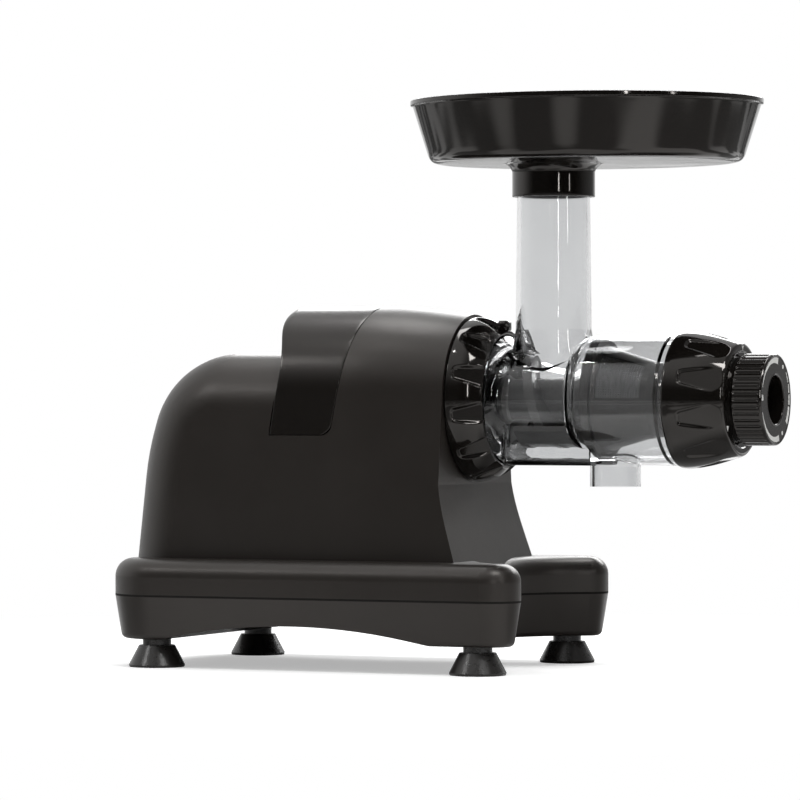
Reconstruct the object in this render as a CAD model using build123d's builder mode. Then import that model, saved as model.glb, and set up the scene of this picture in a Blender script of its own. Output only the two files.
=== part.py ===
from build123d import *
import math
import os

# Horizontal cold press juicer. Millimetres, +Z up, +X along the drive axis towards the dial.
# Origin: centre of the footprint on the worktop, feet at z = 0.

os.makedirs("parts", exist_ok=True)

# ---------------------------------------------------------------- driving dimensions
AXIS_Z = 178.0  # height of the drive axis
REAR_X = -222.5  # back of the foot flange
FRONT_X = 222.5  # front face of the dial

# foot flange and lower base
FLANGE_HALF_W = 98.0
LOBE_X = 74.5  # tips of the two front lobes
LOBE_R = 20.0  # outer corners of the lobes
LOBE_INNER_R = 13.0  # corners towards the recess
BASE_DRAFT = 9.0  # degrees the base narrows towards its underside
REAR_CORNER_R = 40.0
CUP_X = 99.5  # centre of the round recess for a glass
CUP_R = 72.0
SEAM_Z = 47.7
SEAM_CHAMFER = 0.9
LEDGE_Z = 72.0
LEDGE_EDGE_R = 12.0
BASE_Z = 18.5
ARCH_FRONT_X = 17.5  # the underside arches up between these stations
ARCH_REAR_X = -178.0
ARCH_RISE = 11.0
SHELL = 3.0

# feet
FOOT_FRONT = (46.0, 78.0)
FOOT_REAR = (-186.0, 78.0)
FOOT_R = 18.7
FOOT_TOP_R = 12.0
FOOT_CONE_Z = 14.5
FOOT_NECK_R = 9.5

# tower and rear hump
TOWER_R = 62.6  # radius of the round top
TOWER_FOOT = 69.4  # half width of the tower at the foot
TOWER_FOOT_Z = 60.0
TOWER_REAR_X = -118.0
TOWER_BEND = ((-58.0, 0.0), (-42.0, 0.25), (-20.0, 2.2))  # stations and how far the round top narrows there
TOWER_FRONT_X = 11.5
TOWER_FLARE = 17.0  # how far the front sweeps forward at the foot
NOSE_R = 56.0  # round boss behind the lock ring
HUMP_TOP_Z = 208.7
HUMP_REAR_X = -221.0
HUMP_FRONT_X = -60.0
HUMP_SIDE_R = 40.0
HUMP_BEND = (-214.3, 142.7)  # the back leans in more above this point
HUMP_BEND_R = 190.0
HUMP_CREST_X = -196.0  # where the line of the back meets the level of the top
HUMP_CREST_R = 61.0
DOUBLE_SHELL = 6.2  # wall behind the recess for the handle cover

# handle cover and finger pocket
COVER_T = 3.0
COVER_GAP = 0.4
COVER_REAR_X = -104.8  # where the rear edge is furthest forward
COVER_REAR = ((-109.9, 154.6), (-106.8, 178.0), (COVER_REAR_X, 202.0), (-107.0, 214.3), (-113.0, 230.0),
              (-118.5, 248.0))
COVER_FRONT = ((-66.0, 154.6), (-62.2, 178.0), (-58.4, 201.0), (-54.9, 225.0), (-48.5, 248.0))
POCKET_END_X = -66.0
POCKET_HALF_W = 36.0
POCKET_R = 56.4
POCKET_FLOOR_Z = 209.0

# drum
TUBE_X = 67.5
TUBE_TOP_Z = 328.0
TUBE_TOP_R = 24.1
TUBE_FOOT_R = 25.1
TUBE_BORE_R = 21.6
NECK_R = 33.0
NECK_BORE_R = 30.0
BARREL_R = 43.2
BARREL_BORE_R = 39.8
DRUM_REAR_X = 20.0
SHOULDER_X = 97.5
BARREL_END_X = 158.6
SPIGOT_END_X = 168.0
SPIGOT_R = 40.5
TROUGH_X = 37.0
TROUGH_HALF_W = 28.0
TROUGH_Z = 134.8
SPOUT_X = 111.2
SPOUT_R = 16.7
SPOUT_BORE_R = 14.0
SPOUT_BORE_L = 13.0  # the bore flares above this height
SPOUT_Z = 121.0

# juicing screen
SCREEN_R = 32.6  # inside of the cone at its wide end
SCREEN_TIP_R = 22.8
SCREEN_SLOPE = (SCREEN_TIP_R - SCREEN_R) / (142 - 107)
SCREEN_WINDOW_X = 110.0
SCREEN_WINDOW_L = 28.0
CRADLE_X = 49.5
CRADLE_L = 53.0
CRADLE_WINDOWS = ((63.0, 0.0), (87.0, 0.0))

# hopper tray
TRAY_Z = 333.5
TRAY_TOP_Z = 374.8
TRAY_WALL = 2.6
TRAY_X = 90.6
TRAY_RIM = (117.8, 103.0)  # half length, half width
TRAY_FLOOR = (104.5, 90.5)
TRAY_COLLAR_R = 27.4
TRAY_COLLAR_Z = 311.5

# lock ring, end cap and dial
RING_REAR_X = 11.9
RING_FRONT_X = 35.0
CAP_REAR_X = 159.1
CAP_BORE_R = 42.2
CAP_FACE_X = 199.5
DIAL_REAR_X = 201.9
DIAL_R = 29.9
OUTLET_R = 15.75
# finger pockets: station and radius of the floor, its slope, count, angle of the first
RING_GRIP = (24.0, 49.8, 0.5, 12, 10.8)
CAP_GRIP = (182.0, 40.5, 0.214, 10, 16.0)
SEAL_R = 14.0
AUGER_NECK_R = 9.5
DIAL_RIBS = 40
BAYONET_COUNT = 4
BAYONET_SPAN = 32.0  # degrees of arc of one lug

# what the housing carries
GEARBOX_NOSE_R = 20.0
COLLAR_BOLT_R = 33.0
SWITCH_Z = 112.0
SWITCH_FACE_X = -214.8
CORD_Z = 56.5
CORD_HOLE_R = 5.0
GLAND_R = 7.5
GLAND_BORE_R = 3.5
HOUSING_SCREWS = ((-150.0, 84.0), (-150.0, -84.0), (-20.0, 84.0), (-20.0, -84.0))
HOUSING_SCREW_SEAT_Z = 36.0
PEDESTAL_Z = 47.0
AIR_SLOT_X = -85.0

# gear train: three shafts in one vertical line
PRESSURE_ANGLE = math.radians(20)
BACKLASH = 0.10  # share of the tooth thickness taken off
MODULE_SLOW = 1.5
TEETH_OUTPUT = 48
TEETH_SMALL = 12
MODULE_FAST = 1.0
TEETH_BIG = 60
TEETH_PINION = 12
COUNTER_Z = AXIS_Z - MODULE_SLOW * (TEETH_OUTPUT + TEETH_SMALL) / 2
MOTOR_Z = COUNTER_Z - MODULE_FAST * (TEETH_BIG + TEETH_PINION) / 2

COUNTER_SHAFT_R = 4.0
OUTPUT_SEAT_R = 8.0
CASE_FRONT_X = 2.0
COVER_PLATE_T = 4.0
CASE_TOP_R = 43.0
CASE_FOOT_R = 32.0
CASE_SCREWS = ((0.0, 45.0), (44.0, -9.0), (-44.0, -9.0), (36.5, -70.0), (-36.5, -70.0), (0.0, -115.0))

# motor stations along the shaft
CASE_REAR_X = -34.0  # back of the gearbox, face of the front bracket
BRACKET_T = 4.0
STACK_FRONT_X = -54.0
STACK_REAR_X = -114.0
REAR_BRACKET_X = -130.0
STACK_HALF = 40.0
ROTOR_R = 20.0
BOLT_OFFSET = 33.0
WINDING_L = 11.0
MOTOR_TAB_Z = 55.0  # underside of the bracket tabs, on the rubber mounts
CAPACITOR_R = 13.0
CAPACITOR_Z = 152.6

# three-position switch
ROCKER_X = -213.2
ROCKER_R = 8.6
ROCKER_HALF_W = 10.5
ROCKER_PIN_R = 1.5

FEET = [(x, side * y) for x, y in (FOOT_FRONT, FOOT_REAR) for side in (1, -1)]
MOTOR_FEET = [(x, side * 25.0) for x in (-46.0, -122.0) for side in (1, -1)]

DRIVE_AXIS = Axis((0, 0, AXIS_Z), (1, 0, 0))
MOTOR_AXIS = Axis((0, 0, MOTOR_Z), (1, 0, 0))
WALL_LEAN = math.acos(TOWER_R / math.hypot(TOWER_FOOT, AXIS_Z - TOWER_FOOT_Z)) - math.atan2(
    AXIS_Z - TOWER_FOOT_Z, TOWER_FOOT)


# ---------------------------------------------------------------- helpers
def turned(points, z=AXIS_Z):
    """Face through (x, radius) points, to revolve about the shaft line at height z."""
    with BuildSketch(Plane.XZ) as face:
        with BuildLine():
            Polyline(*[(x, z + r) for x, r in points], close=True)
        make_face()
    return face.sketch


def upright(points, x, y=0.0):
    """Face through (radius, z) points, to revolve about a vertical line at x, y."""
    with BuildSketch(Plane(origin=(x, y, 0), x_dir=(1, 0, 0), z_dir=(0, -1, 0))) as face:
        with BuildLine():
            Polyline(*points, close=True)
        make_face()
    return face.sketch


def across(x, z=AXIS_Z):
    """Plane square to the shafts at station x, centred on the shaft line at height z."""
    return Plane(origin=(x, 0, z), x_dir=(0, 1, 0), z_dir=(1, 0, 0))


def disc(x, outer, inner=0.0, z=AXIS_Z):
    """Round face at station x, with an optional hole."""
    with BuildSketch(across(x, z)) as face:
        Circle(outer)
        if inner:
            Circle(inner, mode=Mode.SUBTRACT)
    return face.sketch


def lugs(x, outer, inner, turn=0.0, count=BAYONET_COUNT, span=BAYONET_SPAN):
    """Bayonet lugs at station x, as sectors between two radii."""
    half = math.radians(span / 2)
    with BuildSketch(across(x)) as face:
        with BuildLine():
            CenterArc((0, 0), outer, -span / 2, span)
            CenterArc((0, 0), inner, -span / 2, span)
            for side in (-half, half):
                Line((inner * math.cos(side), inner * math.sin(side)),
                     (outer * math.cos(side), outer * math.sin(side)))
        one = make_face(mode=Mode.PRIVATE)
        with PolarLocations(0, count, start_angle=turn):
            add(one)
    return face.sketch


def grips(x, radius, slope, count, first, outline):
    """Flat-bottomed finger pockets round a ring, narrow end to the rear."""
    with BuildPart() as body:
        for step in range(count):
            around = math.radians(first + 360 / count * step)
            floor = Plane(origin=(x, radius * math.cos(around), AXIS_Z + radius * math.sin(around)),
                          x_dir=(0, -math.sin(around), math.cos(around)),
                          z_dir=(slope, math.cos(around), math.sin(around)))
            with BuildSketch(floor) as pocket:
                Polygon(*outline, align=None)
                fillet(pocket.vertices(), 3.5)
            extrude(amount=8)
    return body.part


def gear_face(x, z, teeth, module, turn=0.0):
    """Spur gear outline at station x; turn shifts it by a share of one tooth."""
    pitch_r = module * teeth / 2
    base_r = pitch_r * math.cos(PRESSURE_ANGLE)

    def half_tooth(r):
        slope = math.acos(min(base_r / r, 1.0))
        grown = math.tan(slope) - slope
        full = math.tan(PRESSURE_ANGLE) - PRESSURE_ANGLE
        return math.pi / 2 * (1 - BACKLASH) / teeth + full - grown

    flank = (pitch_r - 1.2 * module, pitch_r, pitch_r + 0.85 * module)
    points = []
    for tooth in range(teeth):
        centre = 2 * math.pi * (tooth + turn) / teeth
        sides = [(r, centre - half_tooth(r)) for r in flank]
        sides += [(r, centre + half_tooth(r)) for r in reversed(flank)]
        points += [(r * math.cos(a), r * math.sin(a)) for r, a in sides]
    with BuildSketch(across(x, z)) as face:
        with BuildLine():
            Polyline(*points, close=True)
        make_face()
    return face.sketch


def arch(x, radius, foot):
    """Tower section at station x: a round top over walls that lean in from the foot."""
    reach = math.hypot(foot, AXIS_Z - TOWER_FOOT_Z)
    lean = math.acos(radius / reach) - math.atan2(AXIS_Z - TOWER_FOOT_Z, foot)
    side = (radius * math.cos(lean), AXIS_Z + radius * math.sin(lean))
    with BuildSketch(Plane.YZ.offset(x)) as face:
        with BuildLine():
            Line((-foot, TOWER_FOOT_Z), (foot, TOWER_FOOT_Z))
            Line((foot, TOWER_FOOT_Z), side)
            ThreePointArc(side, (0, AXIS_Z + radius), (-side[0], side[1]))
            Line((-side[0], side[1]), (-foot, TOWER_FOOT_Z))
        make_face()
    return face.sketch


def tower(rear, inset=0.0):
    """Tower from station rear to its front face; inset gives the hollow inside it."""
    front = TOWER_FRONT_X - inset / 2
    bend = [arch(x, TOWER_R - less - inset, TOWER_FOOT - inset) for x, less in TOWER_BEND]
    with BuildPart() as body:
        extrude(arch(rear, TOWER_R - inset, TOWER_FOOT - inset), amount=TOWER_BEND[0][0] - rear)
        loft([*bend, arch(front + TOWER_FLARE, NOSE_R - 1.2 - inset, TOWER_FOOT - 0.4 - inset)])
        with BuildSketch(Plane.XZ):
            with BuildLine():
                Line((front, AXIS_Z - NOSE_R), (front, AXIS_Z + 90))
                Line((front, AXIS_Z + 90), (front + 60, AXIS_Z + 90))
                Line((front + 60, AXIS_Z + 90), (front + 60, TOWER_FOOT_Z))
                Line((front + 60, TOWER_FOOT_Z), (front + TOWER_FLARE, TOWER_FOOT_Z))
                Spline((front + TOWER_FLARE, TOWER_FOOT_Z), (front + 0.53 * TOWER_FLARE, 85),
                       (front, AXIS_Z - NOSE_R), tangents=[(-0.33, 1), (-0.12, 1)])
            make_face()
        extrude(amount=90, both=True, mode=Mode.SUBTRACT)
    return body.part


def hump(front, inset=0.0):
    """Rear hump over the motor; its side walls lie in the tower's wall planes."""
    foot = TOWER_FOOT - inset
    top = HUMP_TOP_Z - inset
    top_half = foot - (top - TOWER_FOOT_Z) * math.tan(WALL_LEAN)
    with BuildPart() as body:
        with BuildSketch(Plane.XZ) as side:
            Polygon((front + 2 * inset, TOWER_FOOT_Z - 2 * inset), (HUMP_REAR_X, TOWER_FOOT_Z - 2 * inset),
                    HUMP_BEND, (HUMP_CREST_X, HUMP_TOP_Z), (front + 2 * inset, HUMP_TOP_Z), align=None)
            fillet(side.vertices().filter_by_position(Axis.Y, 100, 190), HUMP_BEND_R)
            fillet(side.vertices().group_by(Axis.Y)[-1].sort_by(Axis.X)[0], HUMP_CREST_R)
            if inset:
                offset(amount=-inset, kind=Kind.INTERSECTION)
            with Locations((front - 100, TOWER_FOOT_Z + 100)):
                Rectangle(200, 200, mode=Mode.INTERSECT)
        extrude(amount=90, both=True)
        with BuildSketch(Plane.YZ.offset(HUMP_REAR_X)):
            Polygon((-foot, TOWER_FOOT_Z), (foot, TOWER_FOOT_Z), (top_half, top), (-top_half, top),
                    align=None)
        extrude(amount=front - HUMP_REAR_X, mode=Mode.INTERSECT)
        rim = [e for e in body.edges()
               if abs(e.center().Y) > 10 and e.center().X < front - 1 and e.center().Z > TOWER_FOOT_Z + 1]
        fillet(rim, HUMP_SIDE_R - inset)
    return body.part


def plan(z, inset=0.0):
    """Footprint of the flange and base at height z, with the recess for a glass."""
    with BuildSketch(Plane.XY.offset(z)) as face:
        with Locations(((REAR_X + LOBE_X) / 2, 0)):
            Rectangle(LOBE_X - REAR_X - 2 * inset, 2 * (FLANGE_HALF_W - inset))
        with Locations((CUP_X, 0)):
            Circle(CUP_R + inset, mode=Mode.SUBTRACT)
        corners = face.vertices().sort_by(Axis.X)
        fillet(corners[:2], REAR_CORNER_R - inset)
        tips = face.vertices().group_by(Axis.X)[-1].sort_by(Axis.Y)
        fillet(tips[1:3], LOBE_INNER_R - inset)
        tips = face.vertices().filter_by_position(Axis.X, LOBE_X - inset - 0.1, LOBE_X + 1).sort_by(Axis.Y)
        fillet([tips[0], tips[-1]], LOBE_R - inset)
    return face.sketch


def flange(inset=0.0):
    """Foot flange of the upper housing, with its rounded ledge."""
    with BuildPart() as body:
        extrude(plan(SEAM_Z, inset), amount=LEDGE_Z - SEAM_Z - inset)
        fillet(body.faces().sort_by(Axis.Z)[-1].edges(), LEDGE_EDGE_R - inset)
    return body.part


def arch_block(floor=0.0):
    """Space under the arched underside; floor raises it by the thickness of the shell."""
    half = (ARCH_FRONT_X - ARCH_REAR_X) / 2
    middle = (ARCH_FRONT_X + ARCH_REAR_X) / 2
    radius = (half ** 2 + ARCH_RISE ** 2) / (2 * ARCH_RISE)
    with BuildPart() as body:
        with BuildSketch(Plane.XZ):
            with Locations((middle, BASE_Z + ARCH_RISE - radius)):
                Circle(radius + floor)
            with Locations((middle, 100)):
                Rectangle(900, 200, mode=Mode.INTERSECT)
        extrude(amount=120, both=True)
    return body.part


def base_hollow():
    """Hollow of the lower base above its floor."""
    draft = (SEAM_Z - BASE_Z) * math.tan(math.radians(BASE_DRAFT))
    with BuildPart() as body:
        extrude(plan(BASE_Z + SHELL, SHELL + draft), amount=SEAM_Z - BASE_Z - SHELL)
        add(arch_block(SHELL), mode=Mode.SUBTRACT)
    return body.part


def cover_side(gap=0.0):
    """Side view of the handle cover, grown by a gap."""
    low = COVER_FRONT[0][1] - gap
    front = [(COVER_FRONT[0][0] + gap, low), *[(x + gap, z) for x, z in COVER_FRONT[1:]]]
    rear = [(COVER_REAR[0][0] - gap, low), *[(x - gap, z) for x, z in COVER_REAR[1:]]]
    with BuildSketch(Plane.XZ) as face:
        with BuildLine():
            Line(rear[0], front[0])
            Spline(*front)
            Line(front[-1], rear[-1])
            Spline(*rear)
        make_face()
        fillet(face.vertices().group_by(Axis.Y)[0].sort_by(Axis.X)[-1], 8)
    return face.sketch


def case_outline(x, inset=0.0):
    """Egg-shaped outline of the gearbox round its three shafts."""
    with BuildSketch(across(x)) as face:
        Circle(CASE_TOP_R - inset)
        with Locations((0, MOTOR_Z - AXIS_Z)):
            Circle(CASE_FOOT_R - inset)
        make_hull()
    return face.sketch


def case_ears(x, radius):
    """Round ears, or the holes in them, at the gearbox screws."""
    with BuildSketch(across(x)) as face:
        with Locations(*CASE_SCREWS):
            Circle(radius)
    return face.sketch


def screen_windows():
    """Three sectors that the perforated cone fills."""
    return lugs(SCREEN_WINDOW_X, 45, 12, turn=30, count=3, span=56)


def cradle(outer, inner):
    """Part-round section under the auger, at the rear end of the trough."""
    with BuildSketch(across(CRADLE_X)) as face:
        Circle(outer)
        Circle(inner, mode=Mode.SUBTRACT)
        with Locations((0, -24)):
            Rectangle(2 * (TROUGH_HALF_W - SHELL - 0.4), 16, mode=Mode.INTERSECT)
    return face.sketch


def cradle_windows():
    """Two openings in the cradle, seen from above."""
    with BuildSketch(Plane.XY.offset(AXIS_Z - NECK_BORE_R - 5)) as face:
        with Locations(*CRADLE_WINDOWS):
            Rectangle(20, 28)
    return face.sketch


def cradle_sheet():
    """Perforated sheets in the cradle's openings."""
    with BuildPart() as body:
        extrude(cradle(NECK_BORE_R + 1.4, NECK_BORE_R + 0.6), amount=CRADLE_L)
        extrude(cradle_windows(), amount=20, mode=Mode.INTERSECT)
        with BuildSketch(Plane.XY.offset(AXIS_Z - NECK_BORE_R - 5)):
            with Locations(*CRADLE_WINDOWS):
                with GridLocations(3.0, 3.6, 6, 7):
                    RegularPolygon(0.9, 4)
        extrude(amount=20, mode=Mode.SUBTRACT)
    return body.part


def flight(start, length, pitch, thickness, turn):
    """One helical flight, deep enough to be trimmed to the auger's outline."""
    with BuildPart() as body:
        with BuildLine() as path:
            Helix(pitch=pitch, height=length, radius=20, center=(start, 0, AXIS_Z), direction=(1, 0, 0))
        origin = path.line @ 0
        outward = origin - Vector(start, 0, AXIS_Z)
        with BuildSketch(Plane(origin=origin, x_dir=outward, z_dir=path.line % 0)):
            Rectangle(26, thickness)
        sweep(is_frenet=True)
    return body.part.rotate(DRIVE_AXIS, turn)


def oval(z, half_length, half_width):
    """Oval outline of the tray at height z."""
    with BuildSketch(Plane.XY.offset(z)) as face:
        with Locations((TRAY_X, 0)):
            Ellipse(half_length, half_width)
    return face.sketch


def tray_bowl():
    """Hollow of the tray."""
    with BuildPart() as body:
        loft([oval(TRAY_Z + TRAY_WALL, TRAY_FLOOR[0] - 1.6, TRAY_FLOOR[1] - 1.6),
              oval(TRAY_TOP_Z + 0.01, TRAY_RIM[0] - TRAY_WALL, TRAY_RIM[1] - TRAY_WALL)])
        fillet(body.faces().sort_by(Axis.Z)[0].edges(), 8.5)
    return body.part


def cover_recess():
    """Skin that the handle cover takes the place of, with the gap around it."""
    with BuildPart() as body:
        extrude(cover_side(COVER_GAP), amount=90, both=True)
        add(tower(-140, COVER_T), mode=Mode.SUBTRACT)
    return body.part


def finger_pocket(rear):
    """Pocket under the handle cover, open to the rear."""
    with BuildPart() as body:
        with BuildSketch(across(rear)):
            Circle(POCKET_R)
            with Locations((0, POCKET_FLOOR_Z - AXIS_Z + POCKET_R / 2)):
                Rectangle(2 * POCKET_HALF_W, POCKET_R, mode=Mode.INTERSECT)
        extrude(amount=POCKET_END_X - rear)
    return body.part


# ---------------------------------------------------------------- housing
with BuildPart() as upper_housing:
    add(tower(COVER_REAR_X + 2))
    extrude(disc(-14, NOSE_R), amount=TOWER_FRONT_X + 14)
    add(hump(HUMP_FRONT_X))
    add(flange())
    add(cover_recess(), mode=Mode.SUBTRACT)
    add(finger_pocket(-140), mode=Mode.SUBTRACT)
    # hollow: flange, hump behind the cover, hump under it, tower ahead of the pocket
    add(flange(SHELL), mode=Mode.SUBTRACT)
    add(hump(-114, SHELL), mode=Mode.SUBTRACT)
    add(hump(HUMP_FRONT_X, DOUBLE_SHELL), mode=Mode.SUBTRACT)
    add(tower(POCKET_END_X + SHELL, DOUBLE_SHELL), mode=Mode.SUBTRACT)
    # opening for the gearbox nose and screw holes for the collar
    extrude(disc(0, GEARBOX_NOSE_R + 0.1), amount=20, mode=Mode.SUBTRACT)
    with Locations(across(0)):
        with PolarLocations(COLLAR_BOLT_R, 4, start_angle=45):
            Hole(2.0, depth=30)
    # flat for the switch, its cut-out, and the hole of the cord gland
    with Locations((REAR_X, 0, SWITCH_Z)):
        Box(2 * (SWITCH_FACE_X - REAR_X), 36, 30, mode=Mode.SUBTRACT)
        Box(60, 28, 22, mode=Mode.SUBTRACT)
    extrude(disc(REAR_X - 1, CORD_HOLE_R, z=CORD_Z), amount=12, mode=Mode.SUBTRACT)
    extrude(disc(REAR_X - 1, GLAND_R, z=CORD_Z), amount=2.5, mode=Mode.SUBTRACT)
    extrude(disc(REAR_X + SHELL, GLAND_R, z=CORD_Z), amount=4, mode=Mode.SUBTRACT)
    # bosses for the screws from below
    with BuildSketch(Plane.XY.offset(SEAM_Z)):
        with Locations(*HOUSING_SCREWS):
            Circle(5)
            Circle(1.6, mode=Mode.SUBTRACT)
    extrude(amount=LEDGE_Z - SEAM_Z - 2)
    chamfer(upper_housing.faces().sort_by(Axis.Z)[0].outer_wire().edges(), SEAM_CHAMFER)
upper_housing.part.label = "upper_housing"
export_step(upper_housing.part, "parts/upper_housing.step")

with BuildPart() as handle_cover:
    add(tower(TOWER_REAR_X))
    rear_rim = handle_cover.faces().sort_by(Axis.X)[0].edges().filter_by(GeomType.CIRCLE)
    fillet(rear_rim, 9)
    extrude(cover_side(), amount=90, both=True, mode=Mode.INTERSECT)
    add(tower(TOWER_REAR_X + 6, COVER_T), mode=Mode.SUBTRACT)
    add(finger_pocket(-140), mode=Mode.SUBTRACT)
handle_cover.part.label = "handle_cover"
export_step(handle_cover.part, "parts/handle_cover.step")

with BuildPart() as lower_base:
    extrude(plan(SEAM_Z), amount=BASE_Z - SEAM_Z, taper=BASE_DRAFT)
    fillet(lower_base.faces().sort_by(Axis.Z)[0].edges(), 4)
    add(base_hollow(), mode=Mode.SUBTRACT)
    # pedestals for the motor, bosses for the housing and foot screws
    with BuildSketch(Plane.XY.offset(BASE_Z + 1)):
        with Locations(*MOTOR_FEET):
            Circle(9)
    extrude(amount=PEDESTAL_Z - BASE_Z - 1)
    with BuildSketch(Plane.XY.offset(BASE_Z + 1)):
        with Locations(*HOUSING_SCREWS):
            Circle(6.5)
    extrude(amount=SEAM_Z - BASE_Z - 1)
    with BuildSketch(Plane.XY.offset(BASE_Z + 1)):
        with Locations(*FEET):
            Circle(7)
    extrude(amount=12)
    add(arch_block(), mode=Mode.SUBTRACT)
    with BuildSketch(Plane.XY.offset(PEDESTAL_Z)):
        with Locations(*MOTOR_FEET):
            Circle(3.0)
    extrude(amount=3)
    with BuildSketch(Plane.XY):
        with Locations(*HOUSING_SCREWS):
            Circle(1.8)
    extrude(amount=60, mode=Mode.SUBTRACT)
    with BuildSketch(Plane.XY):
        with Locations(*HOUSING_SCREWS):
            Circle(4.0)
    extrude(amount=HOUSING_SCREW_SEAT_Z, mode=Mode.SUBTRACT)
    with BuildSketch(Plane.XY):
        with Locations(*FEET):
            Circle(2.0)
    extrude(amount=60, mode=Mode.SUBTRACT)
    # air slots under the motor
    with BuildSketch(Plane.XY):
        with Locations((AIR_SLOT_X, 0)):
            with GridLocations(9, 0, 6, 1):
                SlotOverall(70, 3, rotation=90)
    extrude(amount=60, mode=Mode.SUBTRACT)
    chamfer(lower_base.faces().sort_by(Axis.Z)[-1].outer_wire().edges(), SEAM_CHAMFER)
lower_base.part.label = "lower_base"
export_step(lower_base.part, "parts/lower_base.step")

# ---------------------------------------------------------------- feet and housing fasteners
for name, place in zip(("foot_front_left", "foot_front_right", "foot_rear_left", "foot_rear_right"), FEET):
    with BuildPart() as foot:
        revolve(upright([(2.2, 6), (2.2, BASE_Z), (FOOT_NECK_R, BASE_Z), (FOOT_NECK_R, FOOT_CONE_Z),
                         (FOOT_TOP_R, FOOT_CONE_Z), (FOOT_R, 1.6), (FOOT_R - 0.4, 0), (8, 0), (8, 3),
                         (6, 3), (6, 6)], *place), axis=Axis((*place, 0), (0, 0, 1)))
    foot.part.label = name
    export_step(foot.part, f"parts/{name}.step")

with BuildPart() as foot_screws:
    for place in FEET:
        revolve(upright([(0, 3.4), (5, 3.4), (5, 6), (1.9, 6), (1.9, 30), (0, 30)], *place),
                axis=Axis((*place, 0), (0, 0, 1)))
foot_screws.part.label = "foot_screws"
export_step(foot_screws.part, "parts/foot_screws.step")

with BuildPart() as housing_screws:
    for place in HOUSING_SCREWS:
        seat = HOUSING_SCREW_SEAT_Z
        revolve(upright([(0, seat - 2.4), (3.6, seat - 2.4), (3.6, seat), (1.6, seat), (1.6, LEDGE_Z - 6),
                         (0, LEDGE_Z - 6)], *place), axis=Axis((*place, 0), (0, 0, 1)))
housing_screws.part.label = "housing_screws"
export_step(housing_screws.part, "parts/housing_screws.step")

# ---------------------------------------------------------------- collar and lock ring
with BuildPart() as front_collar:
    revolve(turned([(TOWER_FRONT_X, 14), (TOWER_FRONT_X, 47), (19, 47), (19.4, 46.6), (19.4, 43.5),
                    (14, 43.5), (14, 16), (16.5, 16), (16.5, 14)]), axis=DRIVE_AXIS)
    extrude(lugs(14.4, 50.0, 46.5), amount=2.8)
    with Locations(across(TOWER_FRONT_X)):
        with PolarLocations(COLLAR_BOLT_R, 4, start_angle=45):
            Hole(2.0, depth=30)
front_collar.part.label = "front_collar"
export_step(front_collar.part, "parts/front_collar.step")

with BuildPart() as collar_screws:
    with Locations(across(14)):
        with PolarLocations(COLLAR_BOLT_R, 4, start_angle=45):
            Cylinder(3.6, 1.8, align=(Align.CENTER, Align.CENTER, Align.MIN))
            Cylinder(2.0, 11, align=(Align.CENTER, Align.CENTER, Align.MAX))
collar_screws.part.label = "collar_screws"
export_step(collar_screws.part, "parts/collar_screws.step")

with BuildPart() as lock_ring:
    with BuildSketch(Plane.XZ):
        with BuildLine():
            Line((RING_REAR_X, AXIS_Z + 50.6), (RING_REAR_X, AXIS_Z + 54.3))
            Line((RING_REAR_X, AXIS_Z + 54.3), (RING_REAR_X + 0.6, AXIS_Z + 54.8))
            Spline((RING_REAR_X + 0.6, AXIS_Z + 54.8), (25.0, AXIS_Z + 52.6),
                   (RING_FRONT_X - 1.2, AXIS_Z + 46.6), tangents=[(1, 0.02), (0.8, -1)])
            Polyline((RING_FRONT_X - 1.2, AXIS_Z + 46.6), (RING_FRONT_X, AXIS_Z + 45.6),
                     (RING_FRONT_X, AXIS_Z + 43.4), (RING_FRONT_X - 0.8, AXIS_Z + 42.8),
                     (29.0, AXIS_Z + 42.8), (28.6, AXIS_Z + 43.2), (28.6, AXIS_Z + 46.0),
                     (21.4, AXIS_Z + 47.6), (18.2, AXIS_Z + 50.6), (RING_REAR_X, AXIS_Z + 50.6))
        make_face()
    revolve(axis=DRIVE_AXIS)
    extrude(lugs(RING_REAR_X, 51.0, 47.4), amount=2.2)
    # finger tab at the top of the front edge
    with Locations((RING_FRONT_X - 5.0, 0, AXIS_Z + 49.5)):
        Box(6, 8, 7)
    add(grips(*RING_GRIP, [(-4.2, -9.2), (4.2, -9.2), (7.5, 14), (-7.5, 14)]), mode=Mode.SUBTRACT)
lock_ring.part.label = "lock_ring"
export_step(lock_ring.part, "parts/lock_ring.step")

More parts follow.
